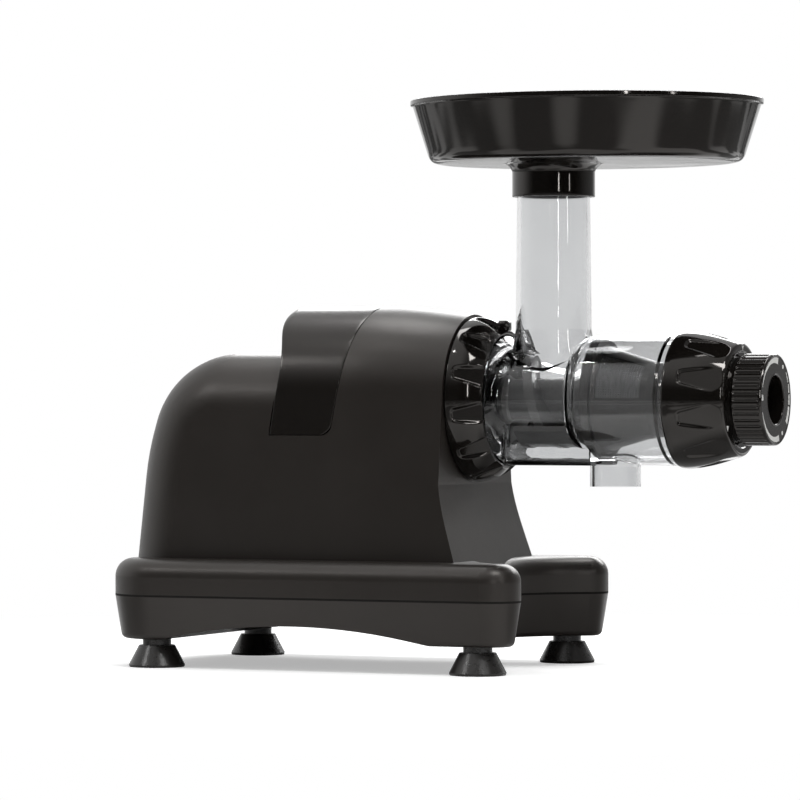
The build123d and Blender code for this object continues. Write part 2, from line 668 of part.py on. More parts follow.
# ---------------------------------------------------------------- drum
with BuildPart() as drum:
    with BuildSketch(Plane.XZ):
        with BuildLine():
            Polyline((DRUM_REAR_X, AXIS_Z), (DRUM_REAR_X, AXIS_Z + 43), (24.2, AXIS_Z + 43),
                     (24.2, AXIS_Z + 45.4), (28.3, AXIS_Z + 45.4), (28.3, AXIS_Z + 42.4),
                     (35.0, AXIS_Z + 42.0))
            Spline((35.0, AXIS_Z + 42.0), (39.5, AXIS_Z + 36.5), (50.0, AXIS_Z + NECK_R),
                   tangents=[(0.6, -1), (1, 0)])
            Line((50.0, AXIS_Z + NECK_R), (SHOULDER_X - 11, AXIS_Z + NECK_R))
            Spline((SHOULDER_X - 11, AXIS_Z + NECK_R), (SHOULDER_X - 7.5, AXIS_Z + 38.5),
                   (SHOULDER_X + 3, AXIS_Z + BARREL_R - 0.7), tangents=[(0.3, 1), (1, 0.02)])
            Polyline((SHOULDER_X + 3, AXIS_Z + BARREL_R - 0.7), (BARREL_END_X, AXIS_Z + BARREL_R),
                     (BARREL_END_X, AXIS_Z + SPIGOT_R), (SPIGOT_END_X, AXIS_Z + SPIGOT_R),
                     (SPIGOT_END_X, AXIS_Z), (DRUM_REAR_X, AXIS_Z))
        make_face()
    revolve(axis=DRIVE_AXIS)
    # juice trough under the neck
    with BuildSketch(Plane.XY.offset(TROUGH_Z)) as trough:
        with Locations(((TROUGH_X + SHOULDER_X + 6) / 2, 0)):
            Rectangle(SHOULDER_X + 6 - TROUGH_X, 2 * TROUGH_HALF_W)
        fillet(trough.vertices().group_by(Axis.X)[0], 12)
    extrude(amount=30)
    fillet(drum.faces().filter_by(Plane.XY).sort_by(Axis.Z)[0].edges().sort_by(Axis.X)[:-1], 8)
    # feed tube
    revolve(upright([(0, AXIS_Z + 5), (TUBE_FOOT_R + 2.5, AXIS_Z + 5), (TUBE_FOOT_R + 2.5, AXIS_Z + 30),
                     (TUBE_FOOT_R, AXIS_Z + 46), (TUBE_TOP_R, 309), (TUBE_TOP_R, TUBE_TOP_Z),
                     (0, TUBE_TOP_Z)], TUBE_X), axis=Axis((TUBE_X, 0, 0), (0, 0, 1)))
    # spout
    revolve(upright([(0, SPOUT_Z), (SPOUT_R, SPOUT_Z), (SPOUT_R, SPOUT_Z + 13), (SPOUT_R + 1.5, SPOUT_Z + 20),
                     (SPOUT_R + 1.5, AXIS_Z - 30), (0, AXIS_Z - 30)], SPOUT_X),
            axis=Axis((SPOUT_X, 0, 0), (0, 0, 1)))
    # bores: neck, barrel, trough, tube, spout, auger shaft
    with BuildSketch(Plane.XZ):
        with BuildLine():
            Polyline((25.0, AXIS_Z), (25.0, AXIS_Z + NECK_BORE_R), (SHOULDER_X - 7, AXIS_Z + NECK_BORE_R))
            Spline((SHOULDER_X - 7, AXIS_Z + NECK_BORE_R), (SHOULDER_X - 4, AXIS_Z + 36),
                   (SHOULDER_X + 3.5, AXIS_Z + BARREL_BORE_R), tangents=[(0.2, 1), (1, 0.05)])
            Polyline((SHOULDER_X + 3.5, AXIS_Z + BARREL_BORE_R), (BARREL_END_X - 6, AXIS_Z + BARREL_BORE_R),
                     (BARREL_END_X - 4, AXIS_Z + SPIGOT_R - 2.6), (SPIGOT_END_X + 1, AXIS_Z + SPIGOT_R - 2.6),
                     (SPIGOT_END_X + 1, AXIS_Z), (25.0, AXIS_Z))
        make_face()
    revolve(axis=DRIVE_AXIS, mode=Mode.SUBTRACT)
    with BuildSketch(Plane.XY.offset(TROUGH_Z + SHELL)) as trough_bore:
        with Locations(((TROUGH_X + SHELL + SHOULDER_X + 8) / 2, 0)):
            Rectangle(SHOULDER_X + 8 - TROUGH_X - SHELL, 2 * (TROUGH_HALF_W - SHELL))
        fillet(trough_bore.vertices().group_by(Axis.X)[0], 9)
    extrude(amount=30, mode=Mode.SUBTRACT)
    with BuildSketch(Plane.XY.offset(AXIS_Z)):
        with Locations((TUBE_X, 0)):
            Circle(TUBE_BORE_R)
    extrude(amount=TUBE_TOP_Z - AXIS_Z, mode=Mode.SUBTRACT)
    revolve(upright([(0, SPOUT_Z), (SPOUT_BORE_R, SPOUT_Z), (SPOUT_BORE_R, SPOUT_Z + SPOUT_BORE_L),
                     (SPOUT_BORE_R + 1.8, SPOUT_Z + SPOUT_BORE_L + 8), (SPOUT_BORE_R + 1.8, SPOUT_Z + 30),
                     (0, SPOUT_Z + 30)], SPOUT_X), axis=Axis((SPOUT_X, 0, 0), (0, 0, 1)), mode=Mode.SUBTRACT)
    extrude(disc(DRUM_REAR_X, SEAL_R), amount=6, mode=Mode.SUBTRACT)
    extrude(lugs(162.0, CAP_BORE_R - 0.4, SPIGOT_R - 0.5), amount=3)
drum.part.label = "drum"
export_step(drum.part, "parts/drum.step")

with BuildPart() as auger_seal:
    revolve(turned([(DRUM_REAR_X, AUGER_NECK_R + 0.05), (DRUM_REAR_X, SEAL_R), (25.0, SEAL_R),
                    (25.0, SEAL_R + 2), (26.4, SEAL_R + 2), (26.4, AUGER_NECK_R + 0.05)]), axis=DRIVE_AXIS)
auger_seal.part.label = "auger_seal"
export_step(auger_seal.part, "parts/auger_seal.step")

with BuildPart() as cap_seal:
    revolve(turned([(SPIGOT_END_X, 38.2), (SPIGOT_END_X, 40.3), (SPIGOT_END_X + 2.5, 39.9),
                    (SPIGOT_END_X + 2.5, 38.6)]), axis=DRIVE_AXIS)
cap_seal.part.label = "cap_seal"
export_step(cap_seal.part, "parts/cap_seal.step")

# ---------------------------------------------------------------- juicing screen
with BuildPart() as screen_frame:
    revolve(turned([(101.5, 31.6), (101.5, 39.4), (107, 39.4), (107, 35.6), (109, 34.6), (142, 24.6),
                    (149.6, 24.6), (149.6, 20.2), (142, 20.2), (142, SCREEN_TIP_R), (107, SCREEN_R),
                    (106, SCREEN_R), (106, 31.6)]), axis=DRIVE_AXIS)
    extrude(screen_windows(), amount=SCREEN_WINDOW_L, mode=Mode.SUBTRACT)
    # half-round cradle that runs back under the feed opening
    extrude(cradle(NECK_BORE_R + 2.2, NECK_BORE_R), amount=CRADLE_L)
    extrude(cradle_windows(), amount=20, mode=Mode.SUBTRACT)
screen_frame.part.label = "screen_frame"
export_step(screen_frame.part, "parts/screen_frame.step")

with BuildPart() as screen_mesh:
    revolve(turned([(x, SCREEN_R + (x - 107) * SCREEN_SLOPE + lift) for x, lift in
                    ((109, 0.5), (109, 1.3), (140, 1.3), (140, 0.5))]), axis=DRIVE_AXIS)
    extrude(screen_windows(), amount=SCREEN_WINDOW_L, mode=Mode.INTERSECT)
    add(cradle_sheet())
screen_mesh.part.label = "screen_mesh"
export_step(screen_mesh.part, "parts/screen_mesh.step")

# ---------------------------------------------------------------- auger
with BuildPart() as auger:
    for turn in (0, 180):
        add(flight(30, 76, 44, 6.5, turn))
    for turn in (0, 120, 240):
        add(flight(98, 44, 96, 6.0, turn))
    revolve(turned([(34, 0), (34, 29.2), (103, 29.2), (106, 30.8), (108, 31.4), (142, SCREEN_TIP_R - 0.9),
                    (142, 0)]), axis=DRIVE_AXIS, mode=Mode.INTERSECT)
    revolve(turned([(19.6, 0), (19.6, AUGER_NECK_R), (27, AUGER_NECK_R), (27, 15), (29, 17), (34, 17),
                    (40, 13.5), (84, 15), (98, 19), (105, 26.5), (109, 28.4), (142, 19.4), (149.5, 18.8),
                    (152, 15), (160, 12.5), (163.4, 9), (163.4, 0)]), axis=DRIVE_AXIS)
    extrude(disc(19.6, 6), amount=42, mode=Mode.SUBTRACT)
auger.part.label = "auger"
export_step(auger.part, "parts/auger.step")

with BuildPart() as auger_shaft:
    with BuildSketch(across(-6)):
        RectangleRounded(7.8, 7.8, 0.6)
    extrude(amount=26)
    extrude(disc(19.6, 6), amount=42)
auger_shaft.part.label = "auger_shaft"
export_step(auger_shaft.part, "parts/auger_shaft.step")

# ---------------------------------------------------------------- end cap, nozzle and dial
with BuildPart() as end_cap:
    with BuildSketch(Plane.XZ):
        with BuildLine():
            Polyline((CAP_REAR_X, AXIS_Z + CAP_BORE_R), (CAP_REAR_X, AXIS_Z + 44.0),
                     (CAP_REAR_X + 1, AXIS_Z + 44.7), (CAP_REAR_X + 4, AXIS_Z + 45.0))
            Spline((CAP_REAR_X + 4, AXIS_Z + 45.0), (180, AXIS_Z + 42.6), (CAP_FACE_X - 2, AXIS_Z + 37.4),
                   tangents=[(1, -0.02), (1, -0.42)])
            Polyline((CAP_FACE_X - 2, AXIS_Z + 37.4), (CAP_FACE_X, AXIS_Z + 35.8),
                     (CAP_FACE_X, AXIS_Z + 31.6), (CAP_FACE_X - 1, AXIS_Z + 31.0),
                     (CAP_FACE_X - 1, AXIS_Z + 28),
                     (196, AXIS_Z + 28), (196, AXIS_Z + 34.4), (174, AXIS_Z + 39.4), (174, AXIS_Z + 25),
                     (190, AXIS_Z + 25), (190, AXIS_Z + 22.5), (150.4, AXIS_Z + 22.5), (150.4, AXIS_Z + 25),
                     (171, AXIS_Z + 25), (171, AXIS_Z + 41), (169.8, AXIS_Z + CAP_BORE_R),
                     (CAP_REAR_X, AXIS_Z + CAP_BORE_R))
        make_face()
    revolve(axis=DRIVE_AXIS)
    extrude(lugs(CAP_REAR_X + 0.1, CAP_BORE_R + 0.3, SPIGOT_R + 0.4), amount=2.2)
    add(grips(*CAP_GRIP, [(-4.4, -13.3), (4.4, -13.3), (10.5, 17), (-10.5, 17)]), mode=Mode.SUBTRACT)
end_cap.part.label = "end_cap"
export_step(end_cap.part, "parts/end_cap.step")

with BuildPart() as pulp_nozzle:
    revolve(turned([(167, 20.6), (168, 22.1), (193.3, 22.1), (193.3, 24.9), (195.3, 24.9),
                    (195.3, OUTLET_R), (176, OUTLET_R)]), axis=DRIVE_AXIS)
pulp_nozzle.part.label = "pulp_nozzle"
export_step(pulp_nozzle.part, "parts/pulp_nozzle.step")

with BuildPart() as adjust_dial:
    revolve(turned([(DIAL_REAR_X, 27.7), (DIAL_REAR_X, DIAL_R - 0.5), (DIAL_REAR_X + 0.5, DIAL_R),
                    (FRONT_X - 1.2, DIAL_R), (FRONT_X, DIAL_R - 1.2), (FRONT_X, OUTLET_R + 0.6),
                    (FRONT_X - 0.6, OUTLET_R), (204.5, OUTLET_R), (204.5, 17.6), (218.5, 17.6), (218.5, 25.6),
                    (191, 25.6), (191, 29), (194.6, 29), (194.6, 27.7)]), axis=DRIVE_AXIS)
    with BuildSketch(across(DIAL_REAR_X + 0.9)):
        with PolarLocations(DIAL_R + 0.25, DIAL_RIBS):
            Circle(0.95)
    extrude(amount=FRONT_X - DIAL_REAR_X - 2.4, mode=Mode.SUBTRACT)
adjust_dial.part.label = "adjust_dial"
export_step(adjust_dial.part, "parts/adjust_dial.step")

# ---------------------------------------------------------------- hopper tray
with BuildPart() as hopper_tray:
    loft([oval(TRAY_Z, *TRAY_FLOOR), oval(TRAY_TOP_Z, *TRAY_RIM)])
    fillet(hopper_tray.faces().sort_by(Axis.Z)[0].edges(), 11)
    extrude(oval(TRAY_TOP_Z - 3.2, TRAY_RIM[0] + 0.4, TRAY_RIM[1] + 0.4), amount=3.2)
    add(tray_bowl(), mode=Mode.SUBTRACT)
    revolve(upright([(0, TRAY_COLLAR_Z), (TRAY_COLLAR_R, TRAY_COLLAR_Z), (TRAY_COLLAR_R, TRAY_Z - 4.5),
                     (TRAY_COLLAR_R + 1.6, TRAY_Z - 2.0), (TRAY_COLLAR_R + 5.2, TRAY_Z + 1),
                     (0, TRAY_Z + 1)], TUBE_X), axis=Axis((TUBE_X, 0, 0), (0, 0, 1)))
    revolve(upright([(0, TRAY_COLLAR_Z), (TRAY_COLLAR_R - 2.7, TRAY_COLLAR_Z),
                     (TRAY_COLLAR_R - 2.7, TUBE_TOP_Z), (TUBE_BORE_R + 0.2, TUBE_TOP_Z),
                     (TUBE_BORE_R + 0.2, TRAY_Z), (TUBE_BORE_R + 3, TRAY_Z + 4), (0, TRAY_Z + 4)], TUBE_X),
            axis=Axis((TUBE_X, 0, 0), (0, 0, 1)), mode=Mode.SUBTRACT)
hopper_tray.part.label = "hopper_tray"
export_step(hopper_tray.part, "parts/hopper_tray.step")

# ---------------------------------------------------------------- gearbox
with BuildPart() as gearbox_case:
    extrude(case_outline(CASE_REAR_X), amount=CASE_FRONT_X - CASE_REAR_X)
    extrude(case_outline(CASE_REAR_X + SHELL, SHELL), amount=60, mode=Mode.SUBTRACT)
    extrude(disc(CASE_REAR_X + 1, 13.2), amount=9)
    extrude(disc(CASE_REAR_X + SHELL, 11), amount=9, mode=Mode.SUBTRACT)
    extrude(disc(CASE_REAR_X + 1, 7, z=COUNTER_Z), amount=5)
    extrude(disc(CASE_REAR_X + 1, COUNTER_SHAFT_R, z=COUNTER_Z), amount=9, mode=Mode.SUBTRACT)
    extrude(disc(CASE_REAR_X - 1, 5, z=MOTOR_Z), amount=9, mode=Mode.SUBTRACT)
    extrude(case_ears(CASE_FRONT_X - 14, 5), amount=14)
    extrude(case_ears(CASE_FRONT_X - 12, 1.7), amount=14, mode=Mode.SUBTRACT)
gearbox_case.part.label = "gearbox_case"
export_step(gearbox_case.part, "parts/gearbox_case.step")

with BuildPart() as gearbox_cover:
    extrude(case_outline(CASE_FRONT_X), amount=COVER_PLATE_T)
    extrude(case_ears(CASE_FRONT_X, 5), amount=COVER_PLATE_T)
    extrude(disc(CASE_FRONT_X, GEARBOX_NOSE_R), amount=TOWER_FRONT_X - CASE_FRONT_X)
    extrude(disc(CASE_FRONT_X, 13), amount=8, mode=Mode.SUBTRACT)
    extrude(disc(CASE_FRONT_X, 8.2), amount=20, mode=Mode.SUBTRACT)
    extrude(disc(CASE_FRONT_X, COUNTER_SHAFT_R, z=COUNTER_Z), amount=2.5, mode=Mode.SUBTRACT)
    extrude(case_ears(CASE_FRONT_X, 1.7), amount=20, mode=Mode.SUBTRACT)
    with Locations(across(CASE_FRONT_X)):
        with PolarLocations(COLLAR_BOLT_R, 4, start_angle=45):
            Hole(2.0, depth=30)
gearbox_cover.part.label = "gearbox_cover"
export_step(gearbox_cover.part, "parts/gearbox_cover.step")

with BuildPart() as gearbox_screws:
    extrude(case_ears(CASE_FRONT_X + COVER_PLATE_T, 3.2), amount=2.2)
    extrude(case_ears(CASE_FRONT_X - 10, 1.7), amount=10 + COVER_PLATE_T)
gearbox_screws.part.label = "gearbox_screws"
export_step(gearbox_screws.part, "parts/gearbox_screws.step")

with BuildPart() as output_gear:
    extrude(gear_face(-16, AXIS_Z, TEETH_OUTPUT, MODULE_SLOW, turn=0.5), amount=15)
    extrude(disc(-16, 31, 13), amount=3.5, mode=Mode.SUBTRACT)
    extrude(disc(-4.5, 31, 13), amount=4, mode=Mode.SUBTRACT)
    with Locations(across(-16)):
        with PolarLocations(22, 6):
            Hole(5, depth=40)
    extrude(disc(-17, OUTPUT_SEAT_R), amount=30, mode=Mode.SUBTRACT)
output_gear.part.label = "output_gear"
export_step(output_gear.part, "parts/output_gear.step")

with BuildPart() as output_shaft:
    revolve(turned([(CASE_REAR_X + SHELL, 0), (CASE_REAR_X + SHELL, 5), (-22, 5), (-20, 6.5),
                    (-16, OUTPUT_SEAT_R), (CASE_FRONT_X - 0.5, OUTPUT_SEAT_R), (CASE_FRONT_X, 7.5),
                    (17.5, 7.5), (17.5, 0)]), axis=DRIVE_AXIS)
    with BuildSketch(across(-8)):
        RectangleRounded(8.0, 8.0, 0.6)
    extrude(amount=30, mode=Mode.SUBTRACT)
output_shaft.part.label = "output_shaft"
export_step(output_shaft.part, "parts/output_shaft.step")

with BuildPart() as counter_pinion:
    extrude(gear_face(-17.5, COUNTER_Z, TEETH_SMALL, MODULE_SLOW), amount=18)
    extrude(disc(-27, 6.5, z=COUNTER_Z), amount=10)
    extrude(disc(-30, COUNTER_SHAFT_R + 0.05, z=COUNTER_Z), amount=40, mode=Mode.SUBTRACT)
counter_pinion.part.label = "counter_pinion"
export_step(counter_pinion.part, "parts/counter_pinion.step")

with BuildPart() as counter_gear:
    extrude(gear_face(-27, COUNTER_Z, TEETH_BIG, MODULE_FAST), amount=9)
    extrude(disc(-27, 26, 11, z=COUNTER_Z), amount=2, mode=Mode.SUBTRACT)
    extrude(disc(-20, 26, 11, z=COUNTER_Z), amount=2, mode=Mode.SUBTRACT)
    extrude(disc(-28, 6.5, z=COUNTER_Z), amount=12, mode=Mode.SUBTRACT)
counter_gear.part.label = "counter_gear"
export_step(counter_gear.part, "parts/counter_gear.step")

with BuildPart() as counter_shaft:
    extrude(disc(CASE_REAR_X + 1.2, COUNTER_SHAFT_R, z=COUNTER_Z), amount=CASE_FRONT_X + 1 - CASE_REAR_X)
counter_shaft.part.label = "counter_shaft"
export_step(counter_shaft.part, "parts/counter_shaft.step")

for name, x, bore, outer, width, z in (
        ("output_bearing_front", CASE_FRONT_X + 0.4, 7.55, 13, 7.6, AXIS_Z),
        ("output_bearing_rear", CASE_REAR_X + SHELL, 5.05, 11, 7, AXIS_Z),
        ("motor_bearing_front", CASE_REAR_X - 7, 4.05, 9.5, 7, MOTOR_Z),
        ("motor_bearing_rear", REAR_BRACKET_X, 4.05, 9.5, 7, MOTOR_Z)):
    with BuildPart() as bearing:
        race = (outer - bore) * 0.3
        revolve(turned([(x, bore), (x, bore + race), (x + 0.6, bore + race), (x + 0.6, outer - race),
                        (x, outer - race), (x, outer), (x + width, outer), (x + width, outer - race),
                        (x + width - 0.6, outer - race), (x + width - 0.6, bore + race),
                        (x + width, bore + race), (x + width, bore)], z), axis=Axis((0, 0, z), (1, 0, 0)))
    bearing.part.label = name
    export_step(bearing.part, f"parts/{name}.step")

with BuildPart() as shaft_seal:
    revolve(turned([(12.2, 7.55), (12.2, 14), (16, 14), (16, 11), (14.5, 11), (14.5, 9), (16, 8.2),
                    (16, 7.55)]), axis=DRIVE_AXIS)
shaft_seal.part.label = "shaft_seal"
export_step(shaft_seal.part, "parts/shaft_seal.step")

# ---------------------------------------------------------------- motor
with BuildPart() as motor_shaft:
    revolve(turned([(-148, 0), (-148, 3.6), (-147.6, 4), (-33, 4), (-33, 3), (-17, 3), (-17, 0)], MOTOR_Z),
            axis=MOTOR_AXIS)
motor_shaft.part.label = "motor_shaft"
export_step(motor_shaft.part, "parts/motor_shaft.step")

with BuildPart() as motor_pinion:
    extrude(gear_face(-28.5, MOTOR_Z, TEETH_PINION, MODULE_FAST, turn=0.5), amount=11)
    extrude(disc(-29, 3, z=MOTOR_Z), amount=15, mode=Mode.SUBTRACT)
motor_pinion.part.label = "motor_pinion"
export_step(motor_pinion.part, "parts/motor_pinion.step")

with BuildPart() as rotor:
    extrude(disc(STACK_REAR_X, ROTOR_R, z=MOTOR_Z), amount=STACK_FRONT_X - STACK_REAR_X)
    extrude(disc(STACK_REAR_X - 5, ROTOR_R - 2, z=MOTOR_Z), amount=STACK_FRONT_X - STACK_REAR_X + 10)
    extrude(disc(STACK_REAR_X - 5, 12, z=MOTOR_Z), amount=3, mode=Mode.SUBTRACT)
    extrude(disc(STACK_FRONT_X + 2, 12, z=MOTOR_Z), amount=3, mode=Mode.SUBTRACT)
    extrude(disc(STACK_REAR_X - 6, 4, z=MOTOR_Z), amount=80, mode=Mode.SUBTRACT)
rotor.part.label = "rotor"
export_step(rotor.part, "parts/rotor.step")

with BuildPart() as stator:
    with BuildSketch(across(STACK_REAR_X, MOTOR_Z)):
        RectangleRounded(2 * STACK_HALF, 2 * STACK_HALF, 9)
        Circle(ROTOR_R + 0.5, mode=Mode.SUBTRACT)
        with GridLocations(2 * BOLT_OFFSET, 2 * BOLT_OFFSET, 2, 2):
            Circle(2.3, mode=Mode.SUBTRACT)
        for side in (0, 90, 180, 270):
            with PolarLocations(STACK_HALF + 1.5, 1, start_angle=side):
                Circle(4, mode=Mode.SUBTRACT)
    extrude(amount=STACK_FRONT_X - STACK_REAR_X)
stator.part.label = "stator"
export_step(stator.part, "parts/stator.step")

with BuildPart() as windings:
    for x in (STACK_FRONT_X, STACK_REAR_X - WINDING_L):
        revolve(turned([(x, 24), (x, 34), (x + 2, 35.5), (x + WINDING_L - 2, 35.5), (x + WINDING_L, 33.5),
                        (x + WINDING_L, 25), (x + WINDING_L - 1.5, 23.5), (x + 1.5, 23)], MOTOR_Z),
                axis=MOTOR_AXIS)
windings.part.label = "windings"
export_step(windings.part, "parts/windings.step")

for name, x, boss_x, tab_x, tab_l in (
        ("motor_front_bracket", CASE_REAR_X - BRACKET_T, CASE_REAR_X - 7, -54.0, 17.0),
        ("motor_rear_bracket", REAR_BRACKET_X, REAR_BRACKET_X, REAR_BRACKET_X + 1, 15.0)):
    with BuildPart() as bracket:
        with BuildSketch(across(x, MOTOR_Z)):
            RectangleRounded(2 * STACK_HALF + 2, 2 * STACK_HALF + 4, 6)
            with Locations((26, 8), (-26, 8), (0, 28)):
                Circle(7, mode=Mode.SUBTRACT)
        extrude(amount=BRACKET_T)
        extrude(disc(boss_x, 13, z=MOTOR_Z), amount=7)
        # posts that clamp the stack
        for side in (-1, 1):
            for rise in (-1, 1):
                with BuildSketch(across(x, MOTOR_Z)):
                    with Locations((side * BOLT_OFFSET, rise * BOLT_OFFSET)):
                        Circle(5)
                stack = STACK_FRONT_X if x > STACK_FRONT_X else STACK_REAR_X
                extrude(amount=stack - x)
        with Locations((tab_x + tab_l / 2, 0, MOTOR_TAB_Z)):
            Box(tab_l, 76, 3, align=(Align.CENTER, Align.CENTER, Align.MIN))
        extrude(disc(boss_x - 1, 9.5, z=MOTOR_Z), amount=20, mode=Mode.SUBTRACT)
        with BuildSketch(across(x - 40, MOTOR_Z)):
            with GridLocations(2 * BOLT_OFFSET, 2 * BOLT_OFFSET, 2, 2):
                Circle(2)
        extrude(amount=80, mode=Mode.SUBTRACT)
        with BuildSketch(Plane.XY.offset(MOTOR_TAB_Z - 1)):
            with Locations(*MOTOR_FEET):
                Circle(2)
        extrude(amount=6, mode=Mode.SUBTRACT)
    bracket.part.label = name
    export_step(bracket.part, f"parts/{name}.step")

with BuildPart() as motor_bolts:
    with BuildSketch(across(REAR_BRACKET_X - 3, MOTOR_Z)):
        with GridLocations(2 * BOLT_OFFSET, 2 * BOLT_OFFSET, 2, 2):
            RegularPolygon(4, 6)
    extrude(amount=3)
    with BuildSketch(across(REAR_BRACKET_X, MOTOR_Z)):
        with GridLocations(2 * BOLT_OFFSET, 2 * BOLT_OFFSET, 2, 2):
            Circle(2)
    extrude(amount=CASE_REAR_X - REAR_BRACKET_X)
motor_bolts.part.label = "motor_bolts"
export_step(motor_bolts.part, "parts/motor_bolts.step")

with BuildPart() as cooling_fan:
    extrude(disc(-143, 9, z=MOTOR_Z), amount=10)
    extrude(disc(-134.5, 30, z=MOTOR_Z), amount=1.5)
    with BuildSketch(across(-143, MOTOR_Z)):
        with PolarLocations(18.5, 9):
            Rectangle(22, 1.6, rotation=18)
    extrude(amount=9)
    extrude(disc(-144, 4, z=MOTOR_Z), amount=12, mode=Mode.SUBTRACT)
cooling_fan.part.label = "cooling_fan"
export_step(cooling_fan.part, "parts/cooling_fan.step")

with BuildPart() as motor_mounts:
    for place in MOTOR_FEET:
        revolve(upright([(3, PEDESTAL_Z), (8, PEDESTAL_Z), (7, PEDESTAL_Z + 4), (8, MOTOR_TAB_Z),
                         (2, MOTOR_TAB_Z), (2, PEDESTAL_Z + 3), (3, PEDESTAL_Z + 3)], *place),
                axis=Axis((*place, 0), (0, 0, 1)))
motor_mounts.part.label = "motor_mounts"
export_step(motor_mounts.part, "parts/motor_mounts.step")

with BuildPart() as motor_screws:
    for place in MOTOR_FEET:
        revolve(upright([(0, PEDESTAL_Z + 3.2), (2, PEDESTAL_Z + 3.2), (2, MOTOR_TAB_Z + 3),
                         (3.6, MOTOR_TAB_Z + 3), (3.6, MOTOR_TAB_Z + 5), (0, MOTOR_TAB_Z + 5)], *place),
                axis=Axis((*place, 0), (0, 0, 1)))
motor_screws.part.label = "motor_screws"
export_step(motor_screws.part, "parts/motor_screws.step")

with BuildPart() as capacitor_clip:
    with Locations((-88, 0, MOTOR_Z + STACK_HALF + 1.25)):
        Box(14, 32, 2.5)
    extrude(disc(-93, CAPACITOR_R + 1.6, z=CAPACITOR_Z), amount=10)
    extrude(disc(-95, CAPACITOR_R, z=CAPACITOR_Z), amount=20, mode=Mode.SUBTRACT)
capacitor_clip.part.label = "capacitor_clip"
export_step(capacitor_clip.part, "parts/capacitor_clip.step")

with BuildPart() as run_capacitor:
    revolve(turned([(-114, 0), (-114, CAPACITOR_R - 1), (-113, CAPACITOR_R), (-65, CAPACITOR_R),
                    (-64, CAPACITOR_R - 1), (-64, 0)], CAPACITOR_Z),
            axis=Axis((0, 0, CAPACITOR_Z), (1, 0, 0)))
    for side in (-5, 5):
        with Locations((-117, side, CAPACITOR_Z)):
            Box(7, 0.8, 5)
run_capacitor.part.label = "run_capacitor"
export_step(run_capacitor.part, "parts/run_capacitor.step")

# ---------------------------------------------------------------- switch and cord gland
with BuildPart() as power_switch:
    with Locations((SWITCH_FACE_X, 0, SWITCH_Z)):
        Box(1.6, 34, 28, align=(Align.MAX, Align.CENTER, Align.CENTER))
        Box(24, 28, 22, align=(Align.MIN, Align.CENTER, Align.CENTER))
    with BuildSketch(Plane.XZ):
        with Locations((ROCKER_X, SWITCH_Z)):
            Circle(ROCKER_R + 0.4)
        with Locations((ROCKER_X - 10, SWITCH_Z)):
            Rectangle(20, 2 * ROCKER_R + 0.8)
    extrude(amount=ROCKER_HALF_W + 0.4, both=True, mode=Mode.SUBTRACT)
    with BuildSketch(Plane.XZ):
        with Locations((ROCKER_X, SWITCH_Z)):
            Circle(ROCKER_PIN_R + 0.05)
    extrude(amount=ROCKER_HALF_W + 2, both=True, mode=Mode.SUBTRACT)
    for rise in (-6, 0, 6):
        with Locations((SWITCH_FACE_X + 27, 0, SWITCH_Z + rise)):
            Box(7, 6, 0.8)
power_switch.part.label = "power_switch"
export_step(power_switch.part, "parts/power_switch.step")

with BuildPart() as switch_rocker:
    with BuildSketch(Plane.XZ):
        with Locations((ROCKER_X, SWITCH_Z)):
            Circle(ROCKER_R)
        Polygon((ROCKER_X - 12, SWITCH_Z - 12), (ROCKER_X - 12, SWITCH_Z + 12),
                (ROCKER_X - 7.6, SWITCH_Z + 12), (ROCKER_X - 4.6, SWITCH_Z), (ROCKER_X - 7.6, SWITCH_Z - 12),
                align=None, mode=Mode.SUBTRACT)
    extrude(amount=ROCKER_HALF_W, both=True)
    with BuildSketch(Plane.XZ):
        with Locations((ROCKER_X, SWITCH_Z)):
            Circle(ROCKER_PIN_R)
    extrude(amount=ROCKER_HALF_W + 1.8, both=True)
switch_rocker.part.label = "switch_rocker"
export_step(switch_rocker.part, "parts/switch_rocker.step")

with BuildPart() as cord_gland:
    revolve(turned([(REAR_X, GLAND_BORE_R), (REAR_X, GLAND_R), (REAR_X + 1.5, GLAND_R),
                    (REAR_X + 1.5, CORD_HOLE_R), (REAR_X + SHELL, CORD_HOLE_R),
                    (REAR_X + SHELL, GLAND_R - 0.3), (REAR_X + 6, 6), (REAR_X + 6, GLAND_BORE_R)], CORD_Z),
            axis=Axis((0, 0, CORD_Z), (1, 0, 0)))
cord_gland.part.label = "cord_gland"
export_step(cord_gland.part, "parts/cord_gland.step")
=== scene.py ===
# %% [markdown]
# # A cold press juicer, finished in Blender
#
# The juicer arrives as CAD solids, one object for each piece, in metres. Those solids
# stay as the frame. The pieces that a hand or an eye meets first are built again here
# with finer edges, and every piece gets a procedural material.

# %% Load the frame
import math
from contextlib import contextmanager

import bmesh
import bpy
import numpy as np
from mathutils import Matrix, Vector


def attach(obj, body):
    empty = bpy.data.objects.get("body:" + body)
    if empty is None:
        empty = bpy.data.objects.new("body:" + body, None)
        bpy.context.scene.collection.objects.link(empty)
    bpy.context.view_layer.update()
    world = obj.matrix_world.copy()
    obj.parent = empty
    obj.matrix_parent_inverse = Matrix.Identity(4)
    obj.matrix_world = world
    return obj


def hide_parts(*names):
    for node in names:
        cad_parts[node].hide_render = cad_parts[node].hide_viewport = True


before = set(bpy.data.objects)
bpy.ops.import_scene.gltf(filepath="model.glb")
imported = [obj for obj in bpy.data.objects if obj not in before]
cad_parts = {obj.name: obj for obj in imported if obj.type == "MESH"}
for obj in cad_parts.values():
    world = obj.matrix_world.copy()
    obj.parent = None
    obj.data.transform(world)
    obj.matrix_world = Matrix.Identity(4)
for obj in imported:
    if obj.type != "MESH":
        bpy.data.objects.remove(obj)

for left_over in ("Cube", "Light", "Camera"):  # what an empty Blender file starts with
    thing = bpy.data.objects.get(left_over)
    if thing:
        bpy.data.objects.remove(thing)
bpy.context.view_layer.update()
MM = 0.001
